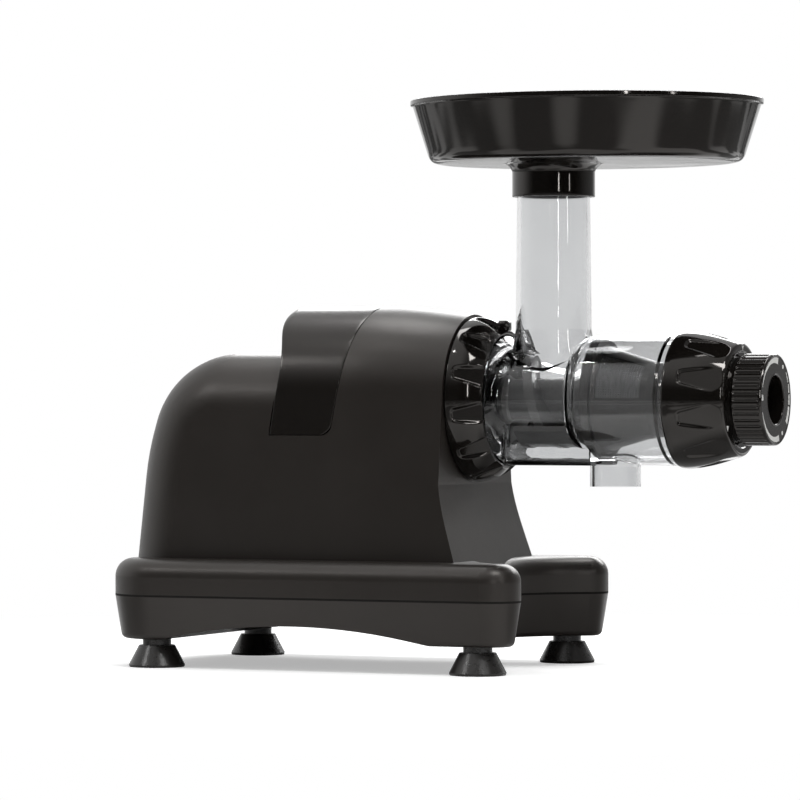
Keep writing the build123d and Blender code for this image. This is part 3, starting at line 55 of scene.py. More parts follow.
AXIS_Z = 178.0  # height of the drive axis, in millimetres

# %% Object helpers
def new_object(name, data):
    """Object in the scene that shows a mesh, a lamp or a camera."""
    made = bpy.data.objects.new(name, data)
    bpy.context.collection.objects.link(made)
    return made


def mesh_object(name, points=(), faces=(), material=None):
    """Object with a mesh of its own, which is empty when no points are given."""
    mesh = bpy.data.meshes.new(name)
    mesh.from_pydata(points, [], faces)
    if material:
        mesh.materials.append(material)
    return new_object(name, mesh)


@contextmanager
def edited(made):
    """The mesh of an object as a bmesh, written back at the end."""
    work = bmesh.new()
    work.from_mesh(made.data)
    yield work
    work.to_mesh(made.data)
    work.free()


print("object helpers ready")

# %% [markdown]
# ## Camera
# A long lens from three metres away keeps the proportions true. The camera looks level
# from about half the height of the machine, so that upright lines stay upright, and a
# small shift frames the picture instead of a tilt.

# %% Camera
camera_data = bpy.data.cameras.new("camera")
camera_data.lens = 207.0
camera_data.sensor_width = 36.0
camera_data.shift_y = -0.0125
camera_data.clip_end = 30.0
camera = new_object("camera", camera_data)
camera.location = (1.1999, -2.8188, 0.1843)
camera.rotation_euler = (math.radians(90), 0, math.radians(23.8))
bpy.context.scene.camera = camera
bpy.context.scene.view_settings.view_transform = "Standard"
TOWARDS_VIEWER = (0.4035, -0.915, 0.0)  # level direction from the machine to the camera
print("camera at", tuple(camera.location))

# %% [markdown]
# ## Node helpers
# A material is a small graph. The first helpers add a node and do sums on its sockets.
# The next ones make the patterns that most finishes share. A pattern reads Object
# coordinates, so it is fixed to the piece and has the same scale on all of them.

# %% Node helpers
def fill(tree, node, inputs):
    """Sets the inputs of a node; each is a socket to join or a value to hold."""
    for key, value in inputs.items():
        if isinstance(value, bpy.types.NodeSocket):
            tree.links.new(value, node.inputs[key])
        else:
            node.inputs[key].default_value = value
    return node


def add(tree, kind, inputs=(), **settings):
    """One node with its settings and its inputs."""
    node = tree.nodes.new(kind)
    for key, value in settings.items():
        setattr(node, key, value)
    return fill(tree, node, dict(inputs))


def math_node(tree, operation, *values):
    """A sum of numbers and sockets."""
    return add(tree, "ShaderNodeMath", enumerate(values), operation=operation).outputs[0]


def remap(tree, value, low, high, to_low, to_high, kind="LINEAR"):
    """Value carried from one range to another, and held there."""
    inputs = enumerate((value, low, high, to_low, to_high))
    return add(tree, "ShaderNodeMapRange", inputs, interpolation_type=kind).outputs[0]


def object_place(tree):
    """The Object coordinates of the piece, in metres."""
    return add(tree, "ShaderNodeTexCoord").outputs["Object"]


print("node helpers ready")

# %% Patterns and relief
def noise(tree, scale, detail, stretch=(1, 1, 1), rough=0.5):
    """Cloudy pattern; scale counts its features in a metre."""
    place = add(tree, "ShaderNodeMapping", {"Vector": object_place(tree), "Scale": stretch})
    return add(tree, "ShaderNodeTexNoise", {"Vector": place.outputs[0], "Scale": scale, "Detail": detail,
                                            "Roughness": rough}).outputs["Fac"]


def cells(tree, scale):
    """Distance to the nearest of many scattered points, for pits and grains."""
    pits = add(tree, "ShaderNodeTexVoronoi", {"Vector": object_place(tree), "Scale": scale})
    return pits.outputs["Distance"]


def two_tone(tree, value, dark, light, low=0.35, high=0.65):
    """Colour that runs from dark to light as value rises."""
    ramp = add(tree, "ShaderNodeValToRGB", {0: value})
    for stop, position, colour in zip(ramp.color_ramp.elements, (low, high), (dark, light)):
        stop.position = position
        stop.color = (*colour, 1)
    return ramp.outputs[0]


def relief(tree, *layers):
    """Bump layers, each a height and its depth in metres, stacked into one normal."""
    below = {}
    for height, depth in layers:
        bump = add(tree, "ShaderNodeBump", {"Height": height, "Strength": 1.0, "Distance": depth, **below})
        below = {"Normal": bump.outputs[0]}
    return below["Normal"]


print("pattern helpers ready")

# %% [markdown]
# ## Studio
# The juicer stands on a pale floor that runs into a white background. Around it the
# room is bright behind and above, and dim to the right and on the viewer's side, because
# black plastic shows its shape only through what it mirrors. The world does this by
# direction, with no picture. The camera, and what is seen through clear plastic, meet
# plain white.

# %% World
DIM_NEAR, DIM_RIGHT = 0.05, 0.28  # what is left of the light from those two sides
FILL, MIRROR_GAIN = 0.50, 0.45  # strength of the room, and what mirrors add to it


def seen_directly(tree, ray):
    """1 for what the camera sees, straight or through clear plastic, and 0 for the rest."""
    return math_node(tree, "MAXIMUM", ray.outputs["Is Camera Ray"], ray.outputs["Is Transmission Ray"])


world = bpy.data.worlds.new("studio")
world.use_nodes = True
bpy.context.scene.world = world
sky = world.node_tree
sky.nodes.clear()
direction = add(sky, "ShaderNodeTexCoord").outputs["Generated"]
split = add(sky, "ShaderNodeSeparateXYZ", {0: direction})
facing = add(sky, "ShaderNodeVectorMath", {0: direction, 1: TOWARDS_VIEWER}, operation="DOT_PRODUCT")
viewer_side = remap(sky, facing.outputs["Value"], -0.25, 0.55, 0.0, 1.0, "SMOOTHSTEP")
right_side = remap(sky, split.outputs["X"], -0.05, 0.40, 1.0, DIM_RIGHT, "SMOOTHSTEP")
level_band = remap(sky, split.outputs["Z"], 0.25, 0.85, 1.0, 0.0, "SMOOTHSTEP")
dimmed = math_node(sky, "MULTIPLY", viewer_side, level_band)
room = math_node(sky, "MULTIPLY", remap(sky, dimmed, 0.0, 1.0, 1.0, DIM_NEAR), right_side)
ray = add(sky, "ShaderNodeLightPath")
mirrored = math_node(sky, "MULTIPLY_ADD", ray.outputs["Is Glossy Ray"], MIRROR_GAIN, FILL)
lit = math_node(sky, "MULTIPLY", room, mirrored)
level = math_node(sky, "MAXIMUM", lit, seen_directly(sky, ray))
background = add(sky, "ShaderNodeBackground", {"Color": (1.0, 1.0, 1.0, 1.0), "Strength": level})
add(sky, "ShaderNodeOutputWorld", {0: background.outputs[0]})
print("world: bright behind, dim towards", TOWARDS_VIEWER)

# %% [markdown]
# Softboxes give black plastic its long highlights. Each is an area lamp set by the
# brightness of its face rather than by its power, because the face is what a glossy
# piece mirrors.

# %% Softboxes
AIM = Vector((0.02, 0.0, 0.2))  # every lamp points at the middle of the machine


def softbox(name, place, size, brightness):
    """Area lamp at place with the given face brightness."""
    data = bpy.data.lights.new(name, "AREA")
    data.shape = "RECTANGLE"
    data.size, data.size_y = size
    data.energy = brightness * math.pi * size[0] * size[1]
    lamp = new_object(name, data)
    lamp.location = place
    lamp.rotation_euler = (AIM - Vector(place)).to_track_quat("-Z", "Y").to_euler()


softbox("key_softbox", (-1.25, -1.25, 1.60), (0.30, 0.30), 14.0)
softbox("side_strip", (1.75, -0.75, 0.95), (0.07, 1.2), 15.0)
softbox("front_strip", (1.55, -2.05, 0.75), (0.06, 0.8), 30.0)
softbox("back_softbox", (-0.2, 1.7, 1.0), (1.7, 0.6), 7.5)
softbox("top_softbox", (-0.1, 0.45, 1.7), (1.1, 0.6), 6.5)
softbox("right_softbox", (0.65, -0.45, 1.45), (0.40, 0.40), 18.0)
softbox("glint", (-0.47, -0.50, 1.50), (0.06, 0.06), 60.0)

# %% [markdown]
# The floor is a matte sheet that keeps the soft shadow under the feet. Seen by the camera
# it is lifted a little and fades to plain white with distance, so no edge shows where the
# floor ends and the background begins. Mirrored in the gloss of the tray it has broad
# darker patches, as a worktop with other things on it would.

# %% Floor
FLOOR_HALF = 6.0  # metres
FLOOR_TONE, FLOOR_LIFT = 0.86, 0.42  # matte grey, and the glow added for the camera
FADE_FROM, FADE_TO = 0.30, 0.75  # metres from the middle at which it starts to fade and is white
PATCHES, PATCH_DARK, PATCH_PALE = 2.6, 0.25, 0.95  # features in a metre, and the two tones
floor_material = bpy.data.materials.new("pale_floor")
floor_material.use_nodes = True
ground = floor_material.node_tree
ground.nodes.clear()
from_centre = add(ground, "ShaderNodeVectorMath", {0: object_place(ground)}, operation="LENGTH")
far = remap(ground, from_centre.outputs["Value"], FADE_FROM, FADE_TO, 0.0, 1.0, "SMOOTHSTEP")
ray = add(ground, "ShaderNodeLightPath")
seen = seen_directly(ground, ray)
mirror_ray = ray.outputs["Is Glossy Ray"]
patches = remap(ground, noise(ground, PATCHES, 0.0), 0.42, 0.56, PATCH_DARK, PATCH_PALE, "SMOOTHSTEP")
plain = math_node(ground, "MULTIPLY", math_node(ground, "SUBTRACT", 1.0, mirror_ray), FLOOR_TONE)
tone = math_node(ground, "MULTIPLY_ADD", mirror_ray, patches, plain)
matte = add(ground, "ShaderNodeBsdfDiffuse", {"Color": tone})
white = add(ground, "ShaderNodeEmission", {"Color": (1, 1, 1, 1)})
lift = add(ground, "ShaderNodeEmission", {"Strength": math_node(ground, "MULTIPLY", seen, FLOOR_LIFT)})
near = add(ground, "ShaderNodeAddShader", {0: matte.outputs[0], 1: lift.outputs[0]})
fading = math_node(ground, "MULTIPLY", far, seen)
blend = add(ground, "ShaderNodeMixShader", {0: fading, 1: near.outputs[0], 2: white.outputs[0]})
add(ground, "ShaderNodeOutputMaterial", {0: blend.outputs[0]})
corners = [(x * FLOOR_HALF, y * FLOOR_HALF, 0) for x, y in ((-1, -1), (1, -1), (1, 1), (-1, 1))]
floor = mesh_object("floor", corners, [(0, 1, 2, 3)], floor_material)
print("floor:", 2 * FLOOR_HALF, "m square")

# %% [markdown]
# ## Plastics
# The mould leaves a fine spark-eroded grain on the matte shells. Light catches the
# grain, so the roughness and a shallow relief both come from noise. The gloss parts
# come from a polished mould, and what is left there is a faint waviness. Colour is
# nearly even, with a slow drift. Close to the seam between housing and base, both
# shells are painted darker, as painted shade standing in for the shadow in the
# groove, and they are duller there too.

# %% Plastic materials
SEAM_HEIGHT = 47.7  # the housing and the base meet here, in millimetres
SEAM_SHADE_FULL, SEAM_SHADE_GONE = 0.55, 0.95  # distances from it at which the painted shade is full and gone
SEAM_SHADE = 0.1  # share of the colour that is left in the seam
DRIFT, SMUDGE, WAVES = 14.0, 22.0, 28.0  # features in a metre of colour, wear and waviness
finishes = {}


def start_material(name):
    """A new material, its node tree and its Principled shader."""
    material = bpy.data.materials.new(name)
    material.use_nodes = True
    finishes[name] = material
    return material.node_tree, material.node_tree.nodes["Principled BSDF"]


def moulded(name, dark, light, gloss, grain, depth, wave=0.0, seam=None):
    """Moulded plastic: two near tones, a range of roughness, grain, waviness and painted shade along a seam.
    """
    tree, shader = start_material(name)
    colour = two_tone(tree, noise(tree, DRIFT, 4.0), dark, light)
    fine = noise(tree, grain, 2.0, rough=0.6)
    smudge = noise(tree, SMUDGE, 5.0, rough=0.65)
    mixed = math_node(tree, "MULTIPLY_ADD", fine, 0.45, math_node(tree, "MULTIPLY", smudge, 0.55))
    rough = remap(tree, mixed, 0.35, 0.65, *gloss)
    if seam:
        # Painted shade: the colour darkens close to the seam, standing in for the shadow in the groove
        # between the shells, and the gloss goes duller there too.
        level = add(tree, "ShaderNodeSeparateXYZ", {0: object_place(tree)})
        away = math_node(tree, "ABSOLUTE", math_node(tree, "SUBTRACT", level.outputs["Z"], seam * MM))
        unshaded = remap(tree, away, SEAM_SHADE_FULL * MM, SEAM_SHADE_GONE * MM, 0.0, 1.0)
        shade = remap(tree, unshaded, 0.0, 1.0, SEAM_SHADE, 1.0)
        colour = add(tree, "ShaderNodeVectorMath", {0: colour, "Scale": shade}, operation="SCALE").outputs[0]
        rough = math_node(tree, "MAXIMUM", rough, math_node(tree, "SUBTRACT", 1.0, unshaded))
    layers = [(fine, depth), (cells(tree, grain * 0.6), depth * 0.5)]
    if wave:
        layers.insert(0, (noise(tree, WAVES, 1.0), wave))
    fill(tree, shader, {"Base Color": colour, "Roughness": rough, "Normal": relief(tree, *layers),
                        "Specular Tint": (1.0, 0.955, 0.915, 1.0)})


for shell in ("housing_plastic", "base_plastic"):
    moulded(shell, (0.0142, 0.0116, 0.0099), (0.0162, 0.0134, 0.0117), (0.33, 0.40), 1400.0, 0.00002,
            seam=SEAM_HEIGHT)
moulded("cover_plastic", (0.0070, 0.0058, 0.0049), (0.0080, 0.0067, 0.0057), (0.20, 0.24), 1700.0, 0.000006)
moulded("gloss_black", (0.0045, 0.0038, 0.0032), (0.0060, 0.0050, 0.0043), (0.045, 0.10), 900.0, 0.000004,
        wave=0.00006)
moulded("auger_plastic", (0.045, 0.045, 0.046), (0.058, 0.058, 0.059), (0.30, 0.42), 1200.0, 0.00002)
moulded("screen_plastic", (0.012, 0.012, 0.0125), (0.018, 0.018, 0.0185), (0.28, 0.38), 1200.0, 0.00002)
moulded("switch_plastic", (0.010, 0.010, 0.010), (0.014, 0.014, 0.014), (0.28, 0.36), 1500.0, 0.00002)
moulded("gear_plastic", (0.62, 0.60, 0.53), (0.70, 0.68, 0.61), (0.34, 0.44), 900.0, 0.00002)
moulded("fan_plastic", (0.020, 0.022, 0.024), (0.028, 0.030, 0.032), (0.36, 0.46), 1100.0, 0.00003)
moulded("capacitor_shell", (0.50, 0.50, 0.48), (0.58, 0.58, 0.56), (0.30, 0.40), 1000.0, 0.00002)
moulded("marking_ink", (0.60, 0.60, 0.58), (0.70, 0.70, 0.68), (0.50, 0.60), 2600.0, 0.00002)
print("plastics:", sorted(finishes))

# %% [markdown]
# The drum is moulded in a clear, slightly smoky resin. Light is bent where it enters
# and leaves the wall, so the solid keeps its real thickness and the shader transmits.
# A slow waviness from the mould breaks the reflections up a little.

# %% Clear resin
tree, shader = start_material("smoke_clear")
fill(tree, shader, {
    "Base Color": two_tone(tree, noise(tree, 10.0, 2.0), (0.735, 0.74, 0.745), (0.785, 0.79, 0.795)),
    "Roughness": remap(tree, noise(tree, 40.0, 5.0, rough=0.6), 0.35, 0.70, 0.0, 0.05),
    "Normal": relief(tree, (noise(tree, 35.0, 1.0), 0.00012)),
    "Transmission Weight": 1.0, "IOR": 1.5})
print("clear resin ready")

# %% [markdown]
# ## Rubber and metals
# Rubber is dark and dull with a bloom of paler dust. Each metal has the marks of how
# it was made: drawn lines along a shaft, the grain of a casting, the stacked sheets of
# the motor core, lacquer over copper wire.

# %% Rubber and metals
def rubber(name, dark, light, gloss):
    """Rubber with a dusty bloom and a pebbled skin."""
    tree, shader = start_material(name)
    bloom = noise(tree, 60.0, 6.0, rough=0.7)
    fill(tree, shader, {
        "Base Color": two_tone(tree, bloom, dark, light, 0.30, 0.75),
        "Roughness": remap(tree, bloom, 0.3, 0.7, *gloss),
        "Normal": relief(tree, (cells(tree, 900.0), 0.00004), (noise(tree, 300.0, 4.0), 0.00003))})


def metal(name, dark, light, gloss, stretch, scale, depth, **more):
    """Metal whose tone, gloss and relief follow one stretched noise."""
    tree, shader = start_material(name)
    marks = noise(tree, scale, 5.0, stretch, 0.6)
    fill(tree, shader, {
        "Base Color": two_tone(tree, marks, dark, light), "Roughness": remap(tree, marks, 0.3, 0.7, *gloss),
        "Normal": relief(tree, (marks, depth)), "Metallic": 1.0, **more})


rubber("foot_rubber", (0.012, 0.011, 0.010), (0.022, 0.020, 0.019), (0.22, 0.34))
rubber("seal_rubber", (0.018, 0.018, 0.018), (0.034, 0.034, 0.034), (0.45, 0.60))
metal("steel", (0.42, 0.42, 0.43), (0.60, 0.60, 0.61), (0.20, 0.34), (1, 12, 12), 120.0, 0.00001)
metal("screen_steel", (0.10, 0.10, 0.10), (0.16, 0.16, 0.16), (0.34, 0.46), (6, 1, 1), 200.0, 0.00001)
metal("zinc_steel", (0.45, 0.46, 0.48), (0.62, 0.62, 0.60), (0.24, 0.38), (1, 1, 1), 260.0, 0.00001)
metal("cast_aluminium", (0.36, 0.36, 0.37), (0.52, 0.52, 0.53), (0.42, 0.60), (1, 1, 1), 700.0, 0.00008)
metal("lamination_steel", (0.16, 0.16, 0.17), (0.40, 0.40, 0.42), (0.30, 0.50), (25, 0.4, 0.4), 80.0, 0.00015)
metal("copper_wire", (0.50, 0.17, 0.06), (0.72, 0.30, 0.13), (0.20, 0.34), (1, 1, 1), 420.0, 0.00005,
      **{"Coat Weight": 0.6, "Coat Roughness": 0.12})
print("finishes:", len(finishes))

# %% [markdown]
# ## Finish the CAD pieces
# Each CAD node names the material slot it was designed with. The procedural finish of
# the same name goes into that slot, so the whole machine, inside and out, is covered
# before any piece is rebuilt.

# %% Materials on the CAD nodes
for name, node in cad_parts.items():
    for slot in node.material_slots:
        wanted = slot.material.name.split(".")[0]
        slot.material = finishes[wanted]
print("finished CAD nodes:", len(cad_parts))

# %% [markdown]
# ## Mesh helpers
# A round piece starts as an outline of stations along the axis and radii. Sharp
# corners on a real moulding are small arcs, so the outline is softened first. Long
# runs are then cut into short steps where the surface will be shaped. A grid of points
# becomes a mesh, which is welded and smoothed up to a crease angle.

# %% Outline helpers
def soften(points, reach, steps=4):
    """Replaces each inner corner of an open outline with a small curve."""
    points = [np.array(p, float) for p in points]
    smooth = [points[0]]
    for before, corner, after in zip(points, points[1:], points[2:]):
        back, ahead = before - corner, after - corner
        cut = min(reach, 0.45 * np.linalg.norm(back), 0.45 * np.linalg.norm(ahead))
        start = corner + back / np.linalg.norm(back) * cut
        end = corner + ahead / np.linalg.norm(ahead) * cut
        for share in np.linspace(0, 1, steps + 1):
            smooth.append((1 - share) ** 2 * start + 2 * share * (1 - share) * corner + share ** 2 * end)
    return smooth + [points[-1]]


def divide(points, step):
    """Cuts the runs of an outline into pieces no longer than step."""
    cut = [points[0]]
    for start, end in zip(points, points[1:]):
        pieces = max(1, math.ceil(np.linalg.norm(np.subtract(end, start)) / step))
        cut += [start + (np.subtract(end, start)) * share for share in np.linspace(0, 1, pieces + 1)[1:]]
    return cut


def around(radius, angle):
    """(y, z) at an angle measured from +Y towards +Z round the drive axis."""
    return radius * np.cos(angle), AXIS_Z + radius * np.sin(angle)


print("outline helpers ready")

# %% Mesh helpers
def grid_object(name, points, wrap_rows, wrap_columns, material):
    """Object from a grid of points in millimetres; a grid that wraps joins its ends."""
    rows, columns = points.shape[:2]
    index = np.arange(rows * columns).reshape(rows, columns)
    lower = index if wrap_rows else index[:-1]
    upper = np.roll(index, -1, axis=0) if wrap_rows else index[1:]
    if not wrap_columns:
        lower, upper, shifted = lower[:, :-1], upper[:, :-1], (lower[:, 1:], upper[:, 1:])
    else:
        shifted = (np.roll(lower, -1, axis=1), np.roll(upper, -1, axis=1))
    quads = np.stack([lower, shifted[0], shifted[1], upper], axis=-1).reshape(-1, 4)
    return mesh_object(name, (points.reshape(-1, 3) * MM).tolist(), quads.tolist(), finishes[material])


def close_ends(made):
    """Fills the open borders of a mesh."""
    with edited(made) as work:
        bmesh.ops.holes_fill(work, edges=[e for e in work.edges if e.is_boundary])


def smooth(made, crease):
    """Smooth shading, broken at edges that turn by more than crease degrees."""
    made.data.shade_smooth()
    made.data.set_sharp_from_angle(angle=math.radians(crease))


def tidy(made, crease=35.0, weld=0.004):
    """Welds a mesh, turns its faces outwards and smooths all but its sharp edges."""
    with edited(made) as work:
        bmesh.ops.remove_doubles(work, verts=work.verts, dist=weld * MM)
        bmesh.ops.dissolve_degenerate(work, edges=work.edges, dist=0.001 * MM)
        bmesh.ops.recalc_face_normals(work, faces=work.faces)
    smooth(made, crease)
    return made


print("mesh helpers ready")

# %% [markdown]
# ## Geometry Nodes helpers
# What repeats round a piece is made once and copied by a node tree with named inputs.
# A modifier runs it, its result is baked to a plain mesh, and the modifier is gone
# again. The first tree turns copies of a sector round the drive axis.

# %% Geometry Nodes helpers
def new_tree(name, inputs):
    """Geometry Nodes tree with a Geometry input and output and the named inputs."""
    tree = bpy.data.node_groups.new(name, "GeometryNodeTree")
    face = tree.interface
    face.new_socket("Geometry", in_out="INPUT", socket_type="NodeSocketGeometry")
    face.new_socket("Geometry", in_out="OUTPUT", socket_type="NodeSocketGeometry")
    for label, kind in inputs:
        face.new_socket(label, in_out="INPUT", socket_type="NodeSocket" + kind)
    return tree, add(tree, "NodeGroupInput"), add(tree, "NodeGroupOutput")


def close_tree(tree, start, end, geometry):
    """Ends a tree in Realize Instances and Set Material."""
    real = add(tree, "GeometryNodeRealizeInstances", {"Geometry": geometry})
    coat = add(tree, "GeometryNodeSetMaterial", {"Geometry": real.outputs[0],
                                                 "Material": start.outputs["Material"]})
    fill(tree, end, {"Geometry": coat.outputs[0]})


def bake(made, tree, values):
    """Runs a tree on an object, with inputs set by identifier, and keeps the result."""
    modifier = made.modifiers.new(tree.name, "NODES")
    modifier.node_group = tree
    for item in tree.interface.items_tree:
        if item.in_out == "INPUT" and item.name in values:
            modifier[item.identifier] = values[item.name]
    made.update_tag()
    depsgraph = bpy.context.evaluated_depsgraph_get()
    result = bpy.data.meshes.new_from_object(made.evaluated_get(depsgraph))
    made.modifiers.clear()
    result.name = made.name
    result.materials.clear()
    result.materials.append(values["Material"])
    result.polygons.foreach_set("material_index", [0] * len(result.polygons))
    made.data = result
    return made


print("tree helpers ready")

# %% Round array
round_array, start, end = new_tree("round_array", [
    ("Count", "Int"), ("Axis Height", "Float"), ("Material", "Material")])
given = start.outputs
height = add(round_array, "ShaderNodeCombineXYZ", {"Z": given["Axis Height"]}).outputs[0]
drop = add(round_array, "ShaderNodeVectorMath", {0: height, "Scale": -1.0}, operation="SCALE").outputs[0]
centred = add(round_array, "GeometryNodeTransform", {"Geometry": given["Geometry"], "Translation": drop})
spots = add(round_array, "GeometryNodePoints", {"Count": given["Count"]})
step = math_node(round_array, "DIVIDE", math.tau, given["Count"])
turn = math_node(round_array, "MULTIPLY", add(round_array, "GeometryNodeInputIndex").outputs[0], step)
spin = add(round_array, "ShaderNodeCombineXYZ", {"X": turn})
copies = add(round_array, "GeometryNodeInstanceOnPoints", {
    "Points": spots.outputs[0], "Instance": centred.outputs[0], "Rotation": spin.outputs[0]})
lifted = add(round_array, "GeometryNodeTransform", {"Geometry": copies.outputs[0], "Translation": height})
close_tree(round_array, start, end, lifted.outputs[0])


def turned_array(made, count, crease=35.0):
    """The object copied count times round the drive axis, in one tidy mesh."""
    values = {"Count": count, "Axis Height": AXIS_Z * MM, "Material": made.data.materials[0]}
    return tidy(bake(made, round_array, values), crease)


def merged(name, *parts):
    """One object from several that share a material."""
    made = mesh_object(name, material=parts[0].data.materials[0])
    with edited(made) as work:
        for part in parts:
            work.from_mesh(part.data)
    for part in parts:
        bpy.data.objects.remove(part)
    return made


print("trees:", [t.name for t in bpy.data.node_groups])

# %% [markdown]
# ## Pockets for the fingers
# The lock ring and the end cap are gripped in flat-bottomed pockets. One pocket is a
# plane cut into the ring inside a rounded outline. The distance to that outline gives
# both the flat floor and a narrow rounded wall, which is where the bright lines on
# the real ring come from. One sector is shaped and the tree repeats it.

# %% Fans round the drive axis
def fan(outline, half, columns):
    """Angles from -half to half, and the outline's stations and radii repeated on them."""
    offset = np.linspace(-half, half, columns + 1)[None, :]
    x, r = [np.array([p[i] for p in outline])[:, None] + 0 * offset for i in (0, 1)]
    return offset, x, r


def fan_object(name, x, r, angle):
    """Gloss black skin from stations, radii and angles round the drive axis."""
    y, z = around(r, angle)
    return grid_object(name, np.stack([x, y, z], axis=-1), True, False, "gloss_black")


print("fan helpers ready")

# %% Pocket shape
POCKET_CORNER, POCKET_WALL = 3.5, 2.0  # corner radius and width of the wall, in millimetres
WALL_OUTSIDE = 0.15  # share of the wall that lies outside the outline


def inset(corners, depth):
    """Corners of a convex outline moved inwards by depth."""
    moved = []
    for before, corner, after in zip(np.roll(corners, 1, axis=0), corners, np.roll(corners, -1, axis=0)):
        sides = [side / np.linalg.norm(side) for side in (corner - before, after - corner)]
        normals = np.array([(-side[1], side[0]) for side in sides])
        moved.append(np.linalg.solve(normals, normals @ corner + depth))
    return np.array(moved)


def outline_distance(across, along, corners, radius):
    """Distance to a rounded outline, negative inside it."""
    core = inset(np.array(corners, float), radius)
    nearest = np.full(across.shape, np.inf)
    inside = np.ones(across.shape, bool)
    for start, end in zip(core, np.roll(core, -1, axis=0)):
        edge = end - start
        rel = np.stack([across - start[0], along - start[1]], axis=-1)
        share = np.clip(rel @ edge / (edge @ edge), 0, 1)
        nearest = np.minimum(nearest, np.linalg.norm(rel - share[..., None] * edge, axis=-1))
        inside &= edge[0] * rel[..., 1] - edge[1] * rel[..., 0] > 0
    return np.where(inside, -nearest, nearest) - radius


def pocketed_sector(name, outline, count, first, grip, corners, columns):
    """Sector of a ring, 360/count degrees wide and centred on first, with one pocket.

    The grip is the pocket's floor: a station, the radius there and the fall per millimetre."""
    station, radius, slope = grip
    offset, x, r = fan(outline, math.pi / count, columns)
    floor_r = (radius - slope * (x - station)) / np.cos(offset)
    along = (x - station) * math.hypot(1, slope)
    depth_in = -outline_distance(floor_r * np.sin(offset), along, corners, POCKET_CORNER)
    share = np.clip(depth_in / POCKET_WALL + WALL_OUTSIDE, 0, 1)
    share = share * share * (3 - 2 * share)
    r = r - share * np.maximum(r - floor_r, 0)
    return fan_object(name, x, r, offset + math.radians(first))


def ring_curve(x0, r0, x1, drop, power, steps):
    """Points of the swelling outer line of a ring."""
    return [np.array((x, r0 - drop * ((x - x0) / (x1 - x0)) ** power)) for x in np.linspace(x0, x1, steps)]


print("pocket helpers ready")

# %% [markdown]
# ## Lock ring
# The ring clamps the drum to the machine with an eighth of a turn. It is gloss black
# with twelve pockets that open on its front edge. A small tab at the top shows where it
# is locked, and four bayonet lugs hold it from inside.

# %% Blocks and lugs
def block(name, centre, size, bevel, material):
    """Small moulded block with rounded edges, sizes in millimetres."""
    made = mesh_object(name, material=finishes[material])
    with edited(made) as work:
        bmesh.ops.create_cube(work, size=1.0)
        for vert in work.verts:
            vert.co = Vector([(c + s * v) * MM for c, s, v in zip(centre, size, vert.co)])
        bmesh.ops.bevel(work, geom=work.edges, offset=bevel * MM, segments=3, profile=0.7, affect="EDGES")
    return made


LUGS, LUG_WIDTH, LUG_SPAN = 4, 2.2, 32.0  # how many, along the axis in millimetres, round it in degrees


def lug_ring(name, x, outer, inner):
    """Bayonet lugs from station x on: one rounded arc, repeated by the tree."""
    angles = np.radians(np.linspace(-LUG_SPAN / 2, LUG_SPAN / 2, 17))
    section = soften([(x + LUG_WIDTH / 2, outer), (x, outer), (x, inner), (x + LUG_WIDTH, inner),
                      (x + LUG_WIDTH, outer), (x + LUG_WIDTH / 2, outer)], 0.4, 2)
    rows = np.array([[(px, *around(pr, a)) for a in angles] for px, pr in section[:-1]])
    one = grid_object(name, rows, True, False, "gloss_black")
    close_ends(one)
    return turned_array(one, LUGS)


print("block and lug helpers ready")

# %% Lock ring
RING_POCKETS = 12
skin = divide([np.array(p) for p in ((11.9, 52.6), (11.9, 53.9), (12.1, 54.4), (12.5, 54.75))], 0.5)
skin += ring_curve(12.9, 54.8, 33.4, 7.9, 2.47, 62)
skin += divide(soften([(33.4, 46.9), (34.6, 45.9), (35.0, 44.6), (34.8, 43.3), (34.0, 42.8)], 0.8), 0.5)[1:]
inner = soften([(34.0, 42.8), (29.0, 42.8), (28.6, 43.2), (28.6, 46.0), (21.4, 47.6), (18.2, 50.6),
                (11.9, 50.6), (11.9, 52.6)], 0.4, 2)
sector = pocketed_sector("lock_ring_shell", skin + inner[1:-1], RING_POCKETS, 10.8, (24.0, 49.8, 0.5),
                         [(-4.2, -9.2), (4.2, -9.2), (7.5, 14), (-7.5, 14)], 64)
ring = turned_array(sector, RING_POCKETS, crease=50)
lugs = lug_ring("ring_lugs", 11.9, 51.0, 47.4)
tab = tidy(block("ring_tab", (32.5, 0.0, AXIS_Z + 48.6), (8, 8, 7.6), 3.2, "gloss_black"))
lock_ring = merged("lock_ring_body", ring, lugs, tab)
smooth(lock_ring, 50)
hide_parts("lock_ring")
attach(lock_ring, "lock_ring")
print("lock ring:", len(lock_ring.data.polygons), "faces")

# %% [markdown]
# ## End cap
# The cap closes the drum. Its ten pockets widen towards the front. It is made as the
# lock ring is, with a deeper inside: a skirt over the drum's spigot and a tube that
# holds the pulp nozzle.

# %% End cap
CAP_POCKETS = 10
skin = divide(soften([(159.1, 43.2), (159.1, 44.3), (160.1, 44.75), (163.1, 45.0)], 0.4, 3), 0.6)
skin += ring_curve(163.1, 45.0, 197.3, 7.5, 1.62, 84)[1:]
skin += divide(soften([(197.3, 37.5), (199.0, 36.6), (199.5, 35.0), (199.5, 31.6), (198.5, 31.0),
                       (198.5, 28.0)], 0.9), 0.5)[1:]
inner = soften([(198.5, 28.0), (196, 28), (196, 34.4), (174, 39.4), (174, 25), (190, 25), (190, 22.5),
                (150.4, 22.5), (150.4, 25), (171, 25), (171, 41), (169.8, 42.2), (159.1, 42.2),
                (159.1, 43.2)], 0.4, 2)
sector = pocketed_sector("end_cap_shell", skin + inner[1:-1], CAP_POCKETS, 16.0, (182.0, 40.5, 0.214),
                         [(-4.4, -13.3), (4.4, -13.3), (10.5, 17), (-10.5, 17)], 54)
shell = turned_array(sector, CAP_POCKETS, crease=50)
lugs = lug_ring("cap_lugs", 159.2, 42.5, 40.9)
end_cap = merged("end_cap_body", shell, lugs)
smooth(end_cap, 50)
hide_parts("end_cap")
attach(end_cap, "end_cap")
print("end cap:", len(end_cap.data.polygons), "faces")

